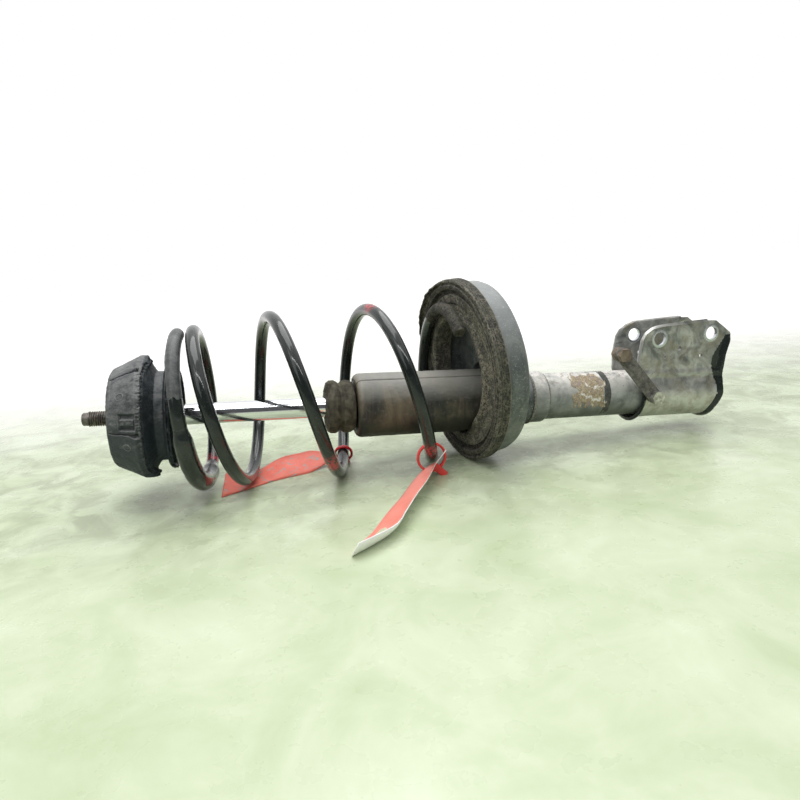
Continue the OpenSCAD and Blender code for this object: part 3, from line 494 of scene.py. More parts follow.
def mat_rusty(name, brown, dark, pale):
    m = Mat(name, 0.8, metal=0.2)
    fine = m.noise(1.4, 6, 0.72)
    m.base(m.blot(0.38, 0.62, 5, 5, 0.65, 0.4), dark, brown)
    m.tint(m.span(fine, 0.55, 0.72), pale, 0.6)
    m.tint(m.edge(0.53, 0.62), pale, 0.5)
    return m.done(fine, 0.3, 0.8)


def mat_plastic(name, colour, rough=0.45, worn=None):
    """Plain plastic; worn is the colour that shows in scraped spots."""
    m = Mat(name, rough, Specular_IOR_Level=0.4)
    m.base(m.blot(0.35, 0.7, 16, 4, 0.6, 0.3), colour, [min(1, c * 1.12 + 0.03) for c in colour])
    if worn:
        m.tint(m.blot(0.56, 0.62, 7, 5, 0.7, 0.8, offset=1.1), worn, 0.95)
        m.tint(m.blot(0.72, 0.76, 1.6, 2), (0.10, 0.05, 0.04), 0.8)
    return m.done(m.noise(4, 3), 0.1, 0.3)


def mat_patch(name):
    """What is left of a paper label: bare, torn and dirty."""
    m = Mat(name, 0.75, Specular_IOR_Level=0.25)
    fine = m.noise(1.5, 6, 0.75, 0.4)
    cloud = m.noise(6, 5, 0.65, 0.6, offset=0.4)
    m.base(m.span(fine, 0.4, 0.62), (0.20, 0.155, 0.10), (0.52, 0.44, 0.30))
    m.tint(m.span(cloud, 0.55, 0.63), (0.72, 0.70, 0.66))
    m.tint(m.span(cloud, 0.45, 0.38), (0.30, 0.25, 0.27), 0.8)
    return m.done(fine, 0.3, 0.8)


# ---------------------------------------------------------------- spring law, as in the part's source
WIRE_R, WIRE_SIDES = 6.0, 32
WIRE_GAP = 0.25
END_D, BODY_D, LOW_D = 141, 157, 149
FIRST_TURN, LAST_TURN = 0.02, 4.12
LONG_TIE_TURN, SHORT_TIE_TURN = 3.4, 2.56
AXIS_TILT, COIL_TILT, COIL_YAW = rad(3.5), rad(6.7), rad(2)
S_START = Vector((0, 0, 2.7))
S_DIR = Vector((math.cos(AXIS_TILT), 0, math.sin(AXIS_TILT)))
S_UP = Vector((-math.sin(COIL_TILT), 0, math.cos(COIL_TILT)))
S_SIDE = Vector((-math.sin(COIL_YAW), -math.cos(COIL_YAW), 0))
SEAT_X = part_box("upper_spring_seat")[0].x / MM
FLANGE_X = SEAT_X + 2.6
FLANGE_T = 2.5
PAN_TILT, PAN_YAW = rad(6.4), rad(5.7)
PAN_DIR = Vector((math.cos(PAN_TILT) * math.cos(PAN_YAW), math.cos(PAN_TILT) * math.sin(PAN_YAW),
                  math.sin(PAN_TILT)))
PAN_C = Vector((327.5, 0, 31.5))
LINER_FLOOR = 3.3
LINER_R = 94.0


def ramp_sum(t):
    return 0 if t <= 0 else (t ** 3 - t ** 4 / 2 if t < 1 else t - 0.5)


def rise(n):
    return 1.95 * ramp_sum((n - 0.15) / 1.95) - 0.7 * ramp_sum((n - 3.45) / 0.7)


def coil_r(n):
    return (END_D + (BODY_D - END_D) * smooth(n - 1) + (LOW_D - BODY_D) * smooth(n - 3)) / 2


def coil_out(n):
    return math.cos(TAU * n) * S_UP + math.sin(TAU * n) * S_SIDE


def lean(n):
    return -4.0 * math.sin(TAU * n) * (1 - smooth((n - 0.85) / 0.7))


def at_liner(n):
    """How far along the spring's axis the wire lies on the liner."""
    start = S_START + coil_r(n) * coil_out(n)
    return ((PAN_C - start).dot(PAN_DIR) + LINER_FLOOR - WIRE_GAP - WIRE_R) / S_DIR.dot(PAN_DIR)


# the wire meets the seat first where this is largest, and the liner where the rise is smallest
COIL_START = max((FLANGE_X + FLANGE_T + WIRE_GAP + WIRE_R - coil_r(n) * coil_out(n).x) / math.cos(AXIS_TILT)
                 - lean(n)
                 for n in [0.02 + 0.02 * i for i in range(25)])
RISE_SCALE = min((at_liner(n) - COIL_START) / rise(n) for n in [3.45 + 0.03 * i for i in range(23)])


def coil_at(n):
    return S_START + (COIL_START + RISE_SCALE * rise(n) + lean(n)) * S_DIR + coil_r(n) * coil_out(n)


def coil_frame(n):
    along = (coil_at(n + 0.004) - coil_at(n - 0.004)).normalized()
    side = along.cross(coil_out(n)).normalized()
    return along, side, side.cross(along)


def wire_tube(name, turns, mats, sides=WIRE_SIDES, shape=None):
    """Tube along the spring's wire. shape(n, a, r) gives the radius at a turn and an angle round it."""
    verts = []
    for n in turns:
        c = coil_at(n)
        _, side, out = coil_frame(n)
        for k in range(sides):
            a = TAU * k / sides
            r = shape(n, a, WIRE_R) if shape else WIRE_R
            verts.append(c + r * (math.cos(a) * out + math.sin(a) * side))
    return mesh_object(name, verts, ring_faces(len(turns), sides, caps=True), mats)


def follow_spring(obj, replaces=()):
    if replaces:
        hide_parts(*replaces)
    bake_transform(obj)
    return obj


# ---------------------------------------------------------------- finishes of this part
BOLT_HOLES, BOLT_R, RING_R = [(552, 62.5), (617, 67.5)], 7.1, 10.2
m_mount = mat_rubber("mount_rubber_dusty", (0.042, 0.046, 0.049), (0.23, 0.235, 0.235), dust_and_top_light=0.75, blue=0.5)
m_neck = mat_rubber("mount_neck_dusty", (0.032, 0.039, 0.043), (0.165, 0.172, 0.172), dust_and_top_light=0.8, grain=0.6,
                    blue=0.75)
# a darker copy of the mount rubber for behind the rim: painted shade
m_mount_back_shaded = mat_rubber("mount_back_painted_shade", (0.016, 0.021, 0.026), (0.11, 0.118, 0.124), dust_and_top_light=0.5, blue=0.8)
m_isolator = mat_rubber("torn_rubber", (0.006, 0.009, 0.011), (0.028, 0.036, 0.040), dust_and_top_light=0.3, rough=0.5,
                        blue=0.6)
m_chrome = mat_chrome("rod_chrome")
m_stud = mat_steel("stud_steel", (0.24, 0.225, 0.20), (0.045, 0.042, 0.04), rust=0.6, rough=0.42)
m_zinc = mat_steel("dull_zinc", (0.42, 0.41, 0.38), (0.18, 0.17, 0.155), rust=0.25)
m_bare = mat_steel("bare_steel", (0.50, 0.51, 0.52), (0.30, 0.30, 0.31), rust=0.1, rough=0.3)
m_cage = mat_plastic("cage_plastic", (0.55, 0.50, 0.38))
m_bronze = mat_steel("sintered_bronze", (0.42, 0.30, 0.14), (0.24, 0.17, 0.08), rust=0.0, rough=0.45)
m_band = mat_plastic("piston_band", (0.10, 0.09, 0.08))
m_seal = mat_rubber("seal_rubber", (0.02, 0.02, 0.02), (0.06, 0.06, 0.06), dust_and_top_light=0.2)
m_seat = mat_gloss_black("seat_paint")
m_tube = mat_tube("tube_paint_worn")
m_pan = mat_pan("pan_paint_specked")
m_liner = mat_liner("liner_dirty")
m_lip = mat_liner("liner_lip_dark", 0.55, 0.7)
m_wire_dirty = mat_liner("wire_end_dirty", 0.35, 0.2)
m_cover = mat_cover("cover_smeared")
m_foam = mat_foam("aged_foam")
m_bracket = mat_bracket("bracket_worn", BOLT_HOLES, RING_R)
m_dark_lip = mat_gloss_black("dark_lip_paint_and_shade")
m_strap = mat_rusty("strap_dirty", (0.185, 0.175, 0.155), (0.075, 0.072, 0.068), (0.42, 0.40, 0.37))
m_rust = mat_rusty("rusty_bolt", (0.185, 0.135, 0.095), (0.075, 0.06, 0.045), (0.34, 0.29, 0.23))
m_bolt = mat_steel("bolt_worn", (0.80, 0.79, 0.75), (0.30, 0.29, 0.27), rust=0.25, rough=0.3)
m_tag_red = mat_plastic("tag_red_worn", (0.76, 0.15, 0.10), worn=(0.36, 0.36, 0.32))
m_tag_pink = mat_plastic("tag_red_clean", (0.86, 0.24, 0.18))
m_tag_white = mat_plastic("tag_white", (0.96, 0.95, 0.92))
m_tie = mat_plastic("tie_red_gloss", (0.62, 0.02, 0.035), 0.25)
m_tie_bright = mat_plastic("tie_red_bright", (0.83, 0.06, 0.055), 0.25)
m_patch = mat_patch("label_remains")
m_weld = mat_rusty("weld_bead", (0.26, 0.25, 0.22), (0.13, 0.125, 0.115), (0.42, 0.41, 0.38))

RED_MARKS = [(coil_at(3.02) + 5 * S_UP, 13), (coil_at(2.36), 15), (coil_at(3.36), 13), (coil_at(0.56), 12)]
m_spring = mat_gloss_black("spring_gloss_black", [(tuple(p), r) for p, r in RED_MARKS])
m_sleeve = mat_gloss_black("sleeve_gloss")

CAD_FINISH = [
    (m_zinc, "stud_nut stud_washer piston_nut"), (m_cage, "bearing_cage"), (m_seat, "upper_spring_seat"),
    (m_bare, "mount_core bearing_upper_race bearing_balls bearing_lower_race rod_guide piston pressure_tube "
             "base_valve"),
    (m_seal, "rod_seal rebound_stop"), (m_bronze, "guide_bush"), (m_band, "piston_band"),
    (m_tube, "damper_tube bottom_cap pan_collar"), (m_pan, "spring_pan"), (m_strap, "strap_spacer"),
    (m_bolt, "strap_lower_bolt"), (m_rust, "strap_upper_bolt"),
]
for m, names in CAD_FINISH:
    for name in names.split():
        ob = nodes[name]
        if not ob.material_slots:
            ob.data.materials.append(m)
        for s in ob.material_slots:
            s.material = m

# hard edges are rounded with modifiers, so the nodes' own meshes stay as packed
for name in ("strap_lower_bolt", "strap_upper_bolt", "stud_nut", "pan_collar", "strap_spacer"):
    modifier(nodes[name], "WELD", merge_threshold=0.00001)
    bevel(nodes[name], 0.7, 35, harden_normals=True)

# ---------------------------------------------------------------- rod and stud
stud_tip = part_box("piston_rod")[0].x / MM
THREAD_START, THREAD_END, PITCH = stud_tip + 5.6, 1.0, 1.9
profile = [(stud_tip, 0.01), (stud_tip, 5.0), (stud_tip + 1, 6.0), (stud_tip + 5.2, 6.0), (THREAD_START, 6.2)]
x = stud_tip + 5.7
while x < THREAD_END:
    profile.append((x, 7.0))
    x += PITCH / 10
profile += [(THREAD_END, 6.1), (2.5, 6.1), (2.5, 7), (44.5, 7), (44.5, 9.2), (45.3, 10)]
profile += [(45.3 + 8 * i, 10) for i in range(1, 34)]
rod_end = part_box("piston")[0].x / MM
profile += [(rod_end, 10), (rod_end, 6), (rod_end + 34, 6), (rod_end + 34, 0.01)]


def thread(x, r, a, nx, nr):
    if THREAD_START + 0.05 < x < THREAD_END - 0.1:
        turn = (x / PITCH - a / 360) % 1
        cut = 0.85 * abs(2 * turn - 1) * smooth((x - THREAD_START) / 1.5)
        worn = 0.10 * n3(x, a * 0.2, 0, 3.0)
        return x, r - clamp(cut + worn, 0, 1.0)
    if x < THREAD_START:
        return x, r + 0.12 * n3(x, a * 0.1, 3, 2.5)
    return x, r


rod = lathe("rod_with_thread", profile, [m_stud, m_chrome], sides=96, move=thread, close=False)
for p in rod.data.polygons:
    p.material_index = 0 if p.center.x < 0.044 else 1
part(rod, "rod_and_mount", ["piston_rod"])

# ---------------------------------------------------------------- top mount rubber
# angles of the moulded slits and of the small window
SLITS = [-80, -48, -4, 59, 100, 132, 176, -121]
WINDOW = 8
core_x, core_r = 16.5, 13.05
FACE_R, RIM_R, SKIRT_R = 46.0, 57.0, 41.5
skirt_end = SEAT_X - 0.6


def mount_profile():
    pts = [(core_x, core_r), (core_x, 16), (1.5, 16), (0.3, 17), (0, 18.5)]
    pts += [(5 * (1 - math.cos(rad(a))), FACE_R - 5 * (1 - math.sin(rad(a)))) for a in range(0, 90, 10)]
    return pts + [
        (5, FACE_R + 0.6), (22.6, 55.2), (24.4, 56.4), (26, RIM_R - 0.2), (28.4, RIM_R - 0.3), (29.6, 56.2),
        (30.2, 54.6), (35.4, 45.2), (37.2, 42.8), (38.4, 41.7), (40, SKIRT_R), (skirt_end - 0.4, SKIRT_R),
        (skirt_end, SKIRT_R - 0.6), (skirt_end, 39.5), (38, 39.5), (38, core_r), (27.5, core_r)]


def mount_move(x, r, a, nx, nr):
    _, y, z = polar(x, r, a)
    d = 0.0
    if x < 31 and r > 40 and nr > 0.05:
        rim = smooth((x - 14) / 12)
        for s in SLITS:
            gap = abs(angle_gap(a, s + 0.9 * n3(x, s, 0, 5)))
            half = (0.75 + 1.5 * rim ** 2) / r * 57.3
            if x > 2 and gap < half:
                depth = 1.2 + 4.2 * smooth((x - 2) / 10)
                d -= depth * (1 - (gap / half) ** 6) * (1 - smooth((x - 25.5) / 2.5))
        gap = abs(angle_gap(a, WINDOW)) * r / 57.3
        if 11 < x < 25.5 and gap < 7.5:
            sunk = 3.2 * smooth((7.5 - gap) / 0.8) * smooth((x - 11) / 0.8) * (1 - smooth((x - 24.2) / 1))
            if gap < 3.2 and x > 12:
                sunk *= 1 - 0.9 * smooth((3.2 - gap) / 0.7) * (1 - smooth((x - 23) / 1.5))
            d -= sunk
    wear = 0.35 * fract(x, y, z, 9, 2) + 0.16 * fract(x, y, z, 2.2, 5)
    if 22 < x < 31 and r > 50:
        rag = abs(fract(x * 0.3, y, z, 3.2, 9, 5)) * 1.5 + abs(n3(0, y, z, 7, 4)) * 0.8
        wear -= rag * smooth((x - 24.5) / 3)
    d += wear
    # lip torn back at the top, and a ragged chunk that hangs at the bottom
    dx = 0.0
    if 25 < x < 33 and r > 47:
        top = bump(a % 360, 84, 30)
        low = bump((a + 360) % 360, 292, 26)
        dx = (3.5 * top + 6.0 * low) * smooth((x - 25) / 4) * smooth((r - 46) / 7)
        dx += 1.8 * (top + low) * fract(0, y, z, 4.5, 6, 5)
    if r < 20:
        d *= 0.3
    xx, rr = x + dx + nx * d, r + nr * d
    return max(xx, 0.0), max(min(rr, RIM_R), core_r)


mount = lathe("mount_rubber_worn", mount_profile(), [m_mount, m_neck, m_mount_back_shaded],
              sides=720, move=mount_move, step=0.7)
for p in mount.data.polygons:
    c = p.center / MM
    # the part behind the rim takes the darker copy, which is painted shade
    p.material_index = 1 if c.x > 38.2 and math.hypot(c.y, c.z) > 39 else 2 if c.x > 29.8 else 0
part(mount, "rod_and_mount", ["mount_rubber"])

def moulded_ring(name, x, angle, radius, tube):
    """A plain raised ring on the mount's near side."""
    slope = (55.2 - FACE_R - 0.6) / 17.6
    base = FACE_R + 0.6 + (x - 5) * slope
    verts = []
    for k in range(36):
        t = TAU * k / 36
        for j in range(8):
            u = TAU * j / 8
            px = x + (radius + tube * math.cos(u)) * math.cos(t)
            ay = angle + math.degrees((radius + tube * math.cos(u)) * math.sin(t) / base)
            verts.append(polar(px, base + (px - x) * 0.49 + tube * math.sin(u), ay))
    ob = mesh_object(name, verts, ring_faces(36, 8, close_rings=True), [m_mount])
    return part(ob, "rod_and_mount")


moulded_ring("mount_mark_upper", 12.5, 33, 3.2, 0.5)
moulded_ring("mount_mark_lower", 16.5, -17, 3.0, 0.5)

# ---------------------------------------------------------------- upper seat, its flange torn away on the near side
def seat_move(x, r, a, nx, nr):
    if r < 49:
        return x, r
    _, y, z = polar(x, r, a)
    kept = smooth(((a % 360) - 112) / 10) * smooth((236 - (a % 360)) / 10)
    limit = 49 + 21 * kept + 1.5 * n3(0, y, z, 6, 3)
    return x, min(r, limit) if kept < 0.999 else r


part(lathe("upper_seat_torn", [
    (SEAT_X, 30), (SEAT_X + 2.5, 30), (SEAT_X + 2.5, 37.5), (SEAT_X + 8.5, 37.5), (SEAT_X + 8.5, 40),
    (SEAT_X + 2.5, 40), (SEAT_X + 2.5, 46.5), (SEAT_X + 5.1, 49.5), (SEAT_X + 5.1, 68.5), (SEAT_X + 3.85, 70),
    (FLANGE_X, 69.5), (FLANGE_X, 50.5), (SEAT_X, 47.5)],
    [m_isolator], sides=360, move=seat_move, step=1.5), "upper_seat", ["upper_spring_seat"])

# ---------------------------------------------------------------- torn isolator
def isolator_move(x, r, a, nx, nr):
    _, y, z = polar(x, r, a)
    d = 0.5 * fract(x, y, z, 5, 3)
    if r > 42 and x > SEAT_X + 4:
        edge = smooth((x - SEAT_X - 4) / 5)
        return (x - edge * 3.0 * abs(fract(0, y, z, 3.0, 8, 5)) + nx * d,
                r + nr * d - edge * 1.2 * abs(n3(x, y, z, 2.5, 2)))
    return x + nx * d * 0.3, max(r + nr * d, 40.06)


x0 = SEAT_X + 2.55
part(lathe("isolator_torn", [
    (x0, 40.06), (x0 + 7.9, 40.06), (x0 + 8, 41.5), (x0 + 7.6, 43.6), (x0 + 5, 45.4), (x0, 45.1)],
           [m_isolator], sides=360, move=isolator_move, step=0.6),
     "upper_seat", ["seat_isolator"])


def shred(name, x, r, a0, length, width, angle, curl, seed, rows=12, cols=7):
    """A torn shred: a thin tapering flap that starts at (x, r, a0) on the isolator."""
    verts = []
    for i in range(rows + 1):
        t = i / rows
        for j in range(cols + 1):
            s = j / cols - 0.5
            w = width * (1 - t ** 1.5) * (1 + 0.5 * n3(t * 9, s * 5, seed, 2.0))
            px = x + length * t * math.cos(rad(angle)) + 0.8 * n3(t * 8, s * 8, seed, 3)
            pr = r + length * t * math.sin(rad(angle)) + curl * t * t + 0.7 * n3(s * 8, t * 8, seed, 3)
            verts.append(polar(px, pr, a0 + math.degrees(s * w / r)))
    ob = mesh_object(name, verts, grid_faces(rows, cols), [m_isolator])
    modifier(ob, "SOLIDIFY", thickness=0.9 * MM, offset=0)
    part(ob, "upper_seat")


shred("isolator_shred_top", x0 + 1, 45, 86, 5, 6, 60, 0, 1.0)
shred("isolator_shred_low", x0 + 3, 44.6, -66, 5, 8, 50, 1, 2.0)

# ---------------------------------------------------------------- spring
steps = 700
turns = [FIRST_TURN + (LAST_TURN - FIRST_TURN) * i / steps for i in range(steps + 1)]
spring = wire_tube("spring_painted", turns, [m_spring, m_wire_dirty])
for p in spring.data.polygons:
    n = FIRST_TURN + (LAST_TURN - FIRST_TURN) * (p.index // WIRE_SIDES) / steps
    # the end in the pan lies in dirt
    if n > 3.9 + 0.04 * noise.noise(p.center * 90):
        p.material_index = 1
bevel(spring, 0.8, 60, 3)
follow_spring(spring, ["coil_spring"])


# turns of the wire that the shrunk sleeve covers
SLEEVE_START, SLEEVE_LONG = 0.255, 0.3


def sleeve_shape(n, a, r):
    there = smooth((n - SLEEVE_START) / 0.03) * smooth((SLEEVE_START + SLEEVE_LONG - n) / 0.03)
    flat = 0.25 * math.cos(2 * a) + 0.18 * noise.noise(Vector((n * 60, math.cos(a), math.sin(a))))
    return r + max((2.55 + flat) * there, 0.0) + 0.12


turns = [SLEEVE_START + SLEEVE_LONG * i / 120 for i in range(121)]
sleeve = wire_tube("sleeve_shrunk", turns, [m_sleeve], shape=sleeve_shape)
follow_spring(sleeve, ["spring_sleeve"])


def film_shape(n, a, r):
    side = math.sin(a)
    crinkle = 0.22 * noise.fractal(Vector((n * 140, 2 * math.cos(a), 2 * side)), 0.8, 2.0, 4)
    ridge = 0.8 * math.exp(-((a - 1.9 + 0.25 * math.sin(n * 70)) / 0.3) ** 2)
    thick = max(crinkle, -0.08) * (0.4 + 0.6 * smooth(side))
    thick += ridge * (0.7 + 0.5 * noise.noise(Vector((n * 90, 0, 4))))
    return r + 0.12 + thick * (1 - smooth((n - 0.17) / 0.05))


m_film = mat_gloss_black("film_crinkled")
# a pale dusty copy for one side of the film: painted light on that side
m_film_lit_side = mat_rubber("film_lit_side_dusty", (0.05, 0.056, 0.056), (0.18, 0.186, 0.184), dust_and_top_light=0.5, rough=0.32)
FILM_RINGS, FILM_SIDES = 180, 48
turns = [0.03 + 0.232 * i / FILM_RINGS for i in range(FILM_RINGS + 1)]
film = wire_tube("film_on_coil", turns, [m_film, m_film_lit_side, m_sleeve], sides=FILM_SIDES, shape=film_shape)
for p in film.data.polygons:
    a = TAU * (p.index % FILM_SIDES + 0.5) / FILM_SIDES
    n = turns[min(p.index // FILM_SIDES, FILM_RINGS)] + 0.01 * noise.noise(p.center * 200)
    # the inner side keeps the glossy black, the rest takes the pale copy, which is painted light
    p.material_index = 2 if n > 0.2 else 0 if 1.3 < a < 3.6 else 1
follow_spring(film)

# ---------------------------------------------------------------- bump stop and dust cover
cover_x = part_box("dust_cover")[0].x / MM
bump_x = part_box("bump_stop")[0].x / MM


def bump_move(x, r, a, nx, nr):
    _, y, z = polar(x, r, a)
    if r < 12:
        return x, r
    d = 0.45 * fract(x, y, z, 6, 1) - 0.25
    torn = bump(a % 360, 68, 40) * (1 - smooth((x - bump_x) / 9))
    dx = torn * (2.2 + 2.2 * abs(fract(0, y, z, 5, 4, 4)))
    return x + dx + nx * d, min(r + nr * d - torn * 1.6 * abs(n3(x, y, z, 4)), 27.0)


bump_profile = [(0.6, 10.1), (0.2, 12), (0.6, 20), (2.2, 24.6), (5, 26.6), (9.5, 26.8), (11.8, 25.4), (13.6, 23.6),
                (15, 23.8), (17, 26), (20, 26.5), (25, 26.2), (28, 24.2), (29.2, 20.8), (29.3, 14.1), (32.1, 14.1),
                (32.1, 18), (36, 18), (38.4, 13), (38.8, 10.1)]
part(lathe("bump_stop_aged", [(bump_x + x, r) for x, r in bump_profile], [m_foam], sides=200, move=bump_move,
           step=0.9), "bump_set", ["bump_stop"])

# the raised band along the cover's top, from angle to angle
BAND_LO, BAND_HI = 62, 122


def cover_move(x, r, a, nx, nr):
    if r < 31 and x > cover_x + 6:
        return x, r
    _, y, z = polar(x, r, a)
    d = -0.35 + 0.22 * fract(x, y, z, 14, 3) + 0.05 * fract(x, y, z, 3, 5)
    if r > 25 and (nr > 0.3 or nx < -0.3):
        k = smooth((a - BAND_LO) / 0.9) * smooth((BAND_HI - a) / 0.9)
        if x < cover_x + 9:
            k *= smooth((r - 26) / 2)
        d += 0.55 * k - 0.3 * bump(a, BAND_LO - 0.6, 1.1)
    return x + nx * d, min(r + nr * d, 32.5)


outer = [(cover_x + 0.2, 14.1), (cover_x + 0.2, 26.5)]
outer += [(cover_x + 6 * (1 - math.cos(rad(t))), 26.3 + 6 * math.sin(rad(t))) for t in range(0, 100, 10)]
cover_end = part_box("dust_cover")[1].x / MM
outer += [(cover_end - 1.2, 32.3), (cover_end - 0.2, 31.9), (cover_end, 31.2), (cover_end - 0.3, 30.3),
          (cover_x + 7, 30.1), (cover_x + 3.6, 27), (cover_x + 2.5, 24), (cover_x + 2.5, 14.1)]
part(lathe("dust_cover_moulded", outer, [m_cover], sides=400, move=cover_move, step=1.0),
     "bump_set", ["dust_cover"])

# ---------------------------------------------------------------- pan liner
def in_pan(v):
    """From the pan's own frame, whose x runs along its axis, to the part's."""
    m = Matrix.Rotation(PAN_YAW, 3, "Z") @ Matrix.Rotation(-PAN_TILT, 3, "Y")
    return m @ v + PAN_C


COVER_ROOM = 34.6


def liner_place(v):
    """Turns the liner into the pan and keeps it clear of the cover."""
    p = in_pan(v)
    r = math.hypot(p.y, p.z)
    if r < COVER_ROOM:
        k = COVER_ROOM / max(r, 1)
        p = Vector((p.x, p.y * k, p.z * k))
    return p


def liner_move(x, r, a, nx, nr):
    _, y, z = polar(x, r, a)
    d = 0.5 * fract(x, y, z, 7, 2) * 0.8
    outer = smooth((r - 86) / 4)
    ragged = outer * 1.3 * abs(fract(0, y, z, 4, 7, 5)) * (1 - smooth((x - 6) / 4))
    flap = outer * bump(a % 360, 122, 34) * (1 - smooth((x - 4) / 5))
    dx = ragged - flap * (4.0 + 4.5 * fract(0, y, z, 11, 3, 3)) * 0.6
    return x + dx + nx * d, min(r + nr * d * 0.6, LINER_R)


liner = lathe("liner_crusted", [
    (4.3, 55), (2.2, 55.6), (1.2, 57.5), (1.4, 61), (3.3, 63), (3.3, 66), (4.2, 67.5), (4.4, 69), (3.3, 70.5),
    (3.3, 78.5), (5.4, 79.4), (5.4, 83), (2.6, 83.8), (0.6, 84.2), (0.1, 85.6), (0.1, 88.2),
    (1.1, 89), (1.1, 90.2), (0.2, 91), (0.3, 92.6), (1.5, 93.9), (4.5, 94), (5.2, 93.2), (6.2, 93.9), (12.2, 94),
    (12.3, 91.1), (9.35, 91.05), (9.35, 58), (21.3, 57.95), (21.3, 55)],
    [m_liner, m_lip], sides=480, move=liner_move, step=0.9, place=liner_place)
for p in liner.data.polygons:
    c = p.center / MM - PAN_C
    p.material_index = 1 if (c - c.dot(PAN_DIR) * PAN_DIR).length > 78.6 else 0
part(liner, "strut_body", ["pan_liner"])


def pan_flap(name, r0, a0, a1, length, seed, rows=10, cols=60):
    """A piece of the liner's lip that has torn loose and stands away from the pan."""
    verts = []
    for i in range(rows + 1):
        t = i / rows
        for j in range(cols + 1):
            s = j / cols
            fade = math.sin(math.pi * s) ** 0.5
            r = r0 - 1.4 * t + 1.4 * t * noise.noise(Vector((s * 7, t * 2, seed)))
            x = 1.5 - (length * fade * t) * (1 + 0.35 * noise.noise(Vector((s * 14, 0, seed)))) + t * t
            verts.append(in_pan(Vector(polar(x, r, a0 + (a1 - a0) * s))))
    ob = mesh_object(name, verts, grid_faces(rows, cols), [m_liner])
    modifier(ob, "SOLIDIFY", thickness=1.3 * MM, offset=-1)
    part(ob, "strut_body")


pan_flap("liner_flap_back", 92.6, 96, 168, 7.5, 3.0)


def bead(name, x, radius, thick, seed, rings=220, sides=10):
    """Weld bead round the damper axis: overlapping lumps."""
    verts = []
    for i in range(rings):
        size = 1 + 0.22 * math.sin(i * 1.35 + seed) + 0.3 * noise.noise(Vector((i * 0.35, seed, 0)))
        for k in range(sides):
            u = TAU * k / sides
            px = x + thick * 0.75 * size * math.cos(u) + 0.3 * noise.noise(Vector((i * 0.12, 3, seed)))
            verts.append(polar(px, radius + thick * 0.5 * size * math.sin(u), 360 * i / rings))
    ob = mesh_object(name, verts, ring_faces(rings, sides, close_rings=True), [m_weld])
    part(ob, "strut_body")


collar_lo, collar_hi = (v.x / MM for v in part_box("pan_collar"))
bead("weld_collar_low", collar_hi + 0.2, 25.4, 2.4, 1.0)
bead("weld_collar_high", collar_lo, 28.0, 1.8, 2.0)

# ---------------------------------------------------------------- label remains on the tube
TUBE_R = 25


def tube_patch(name, xa, xb, a_lo, a_hi, mat, seed, torn=0.35, lift=0.28, cols=90, rows=70):
    """A thin torn patch on the tube, from xa to xb and from one angle to the other."""
    keep, verts, faces = {}, [], []

    def inside(i, j):
        u, v = i / cols, j / rows
        edge = min(u, 1 - u, v, 1 - v) * 2
        return edge + torn * noise.fractal(Vector((u * 5 + seed, v * 5, seed)), 0.8, 2.0, 5) > 0.10

    def vert(i, j):
        if (i, j) not in keep:
            x = xa + (xb - xa) * i / cols
            a = a_lo + (a_hi - a_lo) * j / rows
            keep[i, j] = len(verts)
            verts.append(polar(x, TUBE_R + lift + 0.12 * n3(x, a, 0, 4, seed), a))
        return keep[i, j]

    for i in range(cols):
        for j in range(rows):
            if inside(i + 0.5, j + 0.5):
                faces.append((vert(i, j), vert(i + 1, j), vert(i + 1, j + 1), vert(i, j + 1)))
    ob = mesh_object(name, verts, faces, [mat])
    modifier(ob, "SOLIDIFY", thickness=0.2 * MM, offset=-1)
    part(ob, "strut_body")


tube_patch("label_patch", 451, 493, -24, 72, m_patch, 1.0)
m_band_dirt = mat_rusty("tube_dirt_band", (0.11, 0.11, 0.10), (0.055, 0.058, 0.055), (0.24, 0.24, 0.22))
tube_patch("label_band", 490, 498, -55, 96, m_band_dirt, 4.0, torn=0.3, lift=0.12)

# ---------------------------------------------------------------- knuckle bracket
WRAP_IN, SHEET, EAR_IN, EAR_TOP = 25.05, 3.5, 20.75, 82
# how far the sheet's left and right edges reach, as (height, x)
LEFT_EDGE = [(-40, 534), (14, 534), (24, 529), (40, 527.5), (61.5, 530), (68.5, 534), (73.5, 541), (76.5, 550),
             (EAR_TOP, 617)]
RIGHT_EDGE = [(-40, 629.5), (-14, 631), (0, 636), (24, 635), (44, 637), (60, 641.5), (66, 643), (68, 642),
              (EAR_TOP, 621)]


def interp(z, pts):
    if z <= pts[0][0]:
        return pts[0][1]
    for (a, b), (c, d) in zip(pts, pts[1:]):
        if z <= c:
            return b + (d - b) * (z - a) / (c - a)
    return pts[-1][1]


def section_mid():
    """Half section of the sheet's middle surface: from the bottom of the wrap to the top of an ear."""
    mid, ear = WRAP_IN + SHEET / 2, EAR_IN + SHEET / 2
    join = math.degrees(math.acos(ear / mid))
    pts = [(mid * math.cos(rad(t)), mid * math.sin(rad(t))) for t in range(-90, int(join) - 8, 4)]
    z = mid * math.sin(rad(join)) + 6
    # short S-bend from the round wrap to the flat ear
    y0, z0 = pts[-1]
    pts += [(y0 + (ear - y0) * smooth(k / 6), z0 + (z - z0) * k / 6) for k in range(1, 7)]
    while z + 1.6 <= EAR_TOP:
        z += 1.6
        pts.append((ear, z))
    return pts


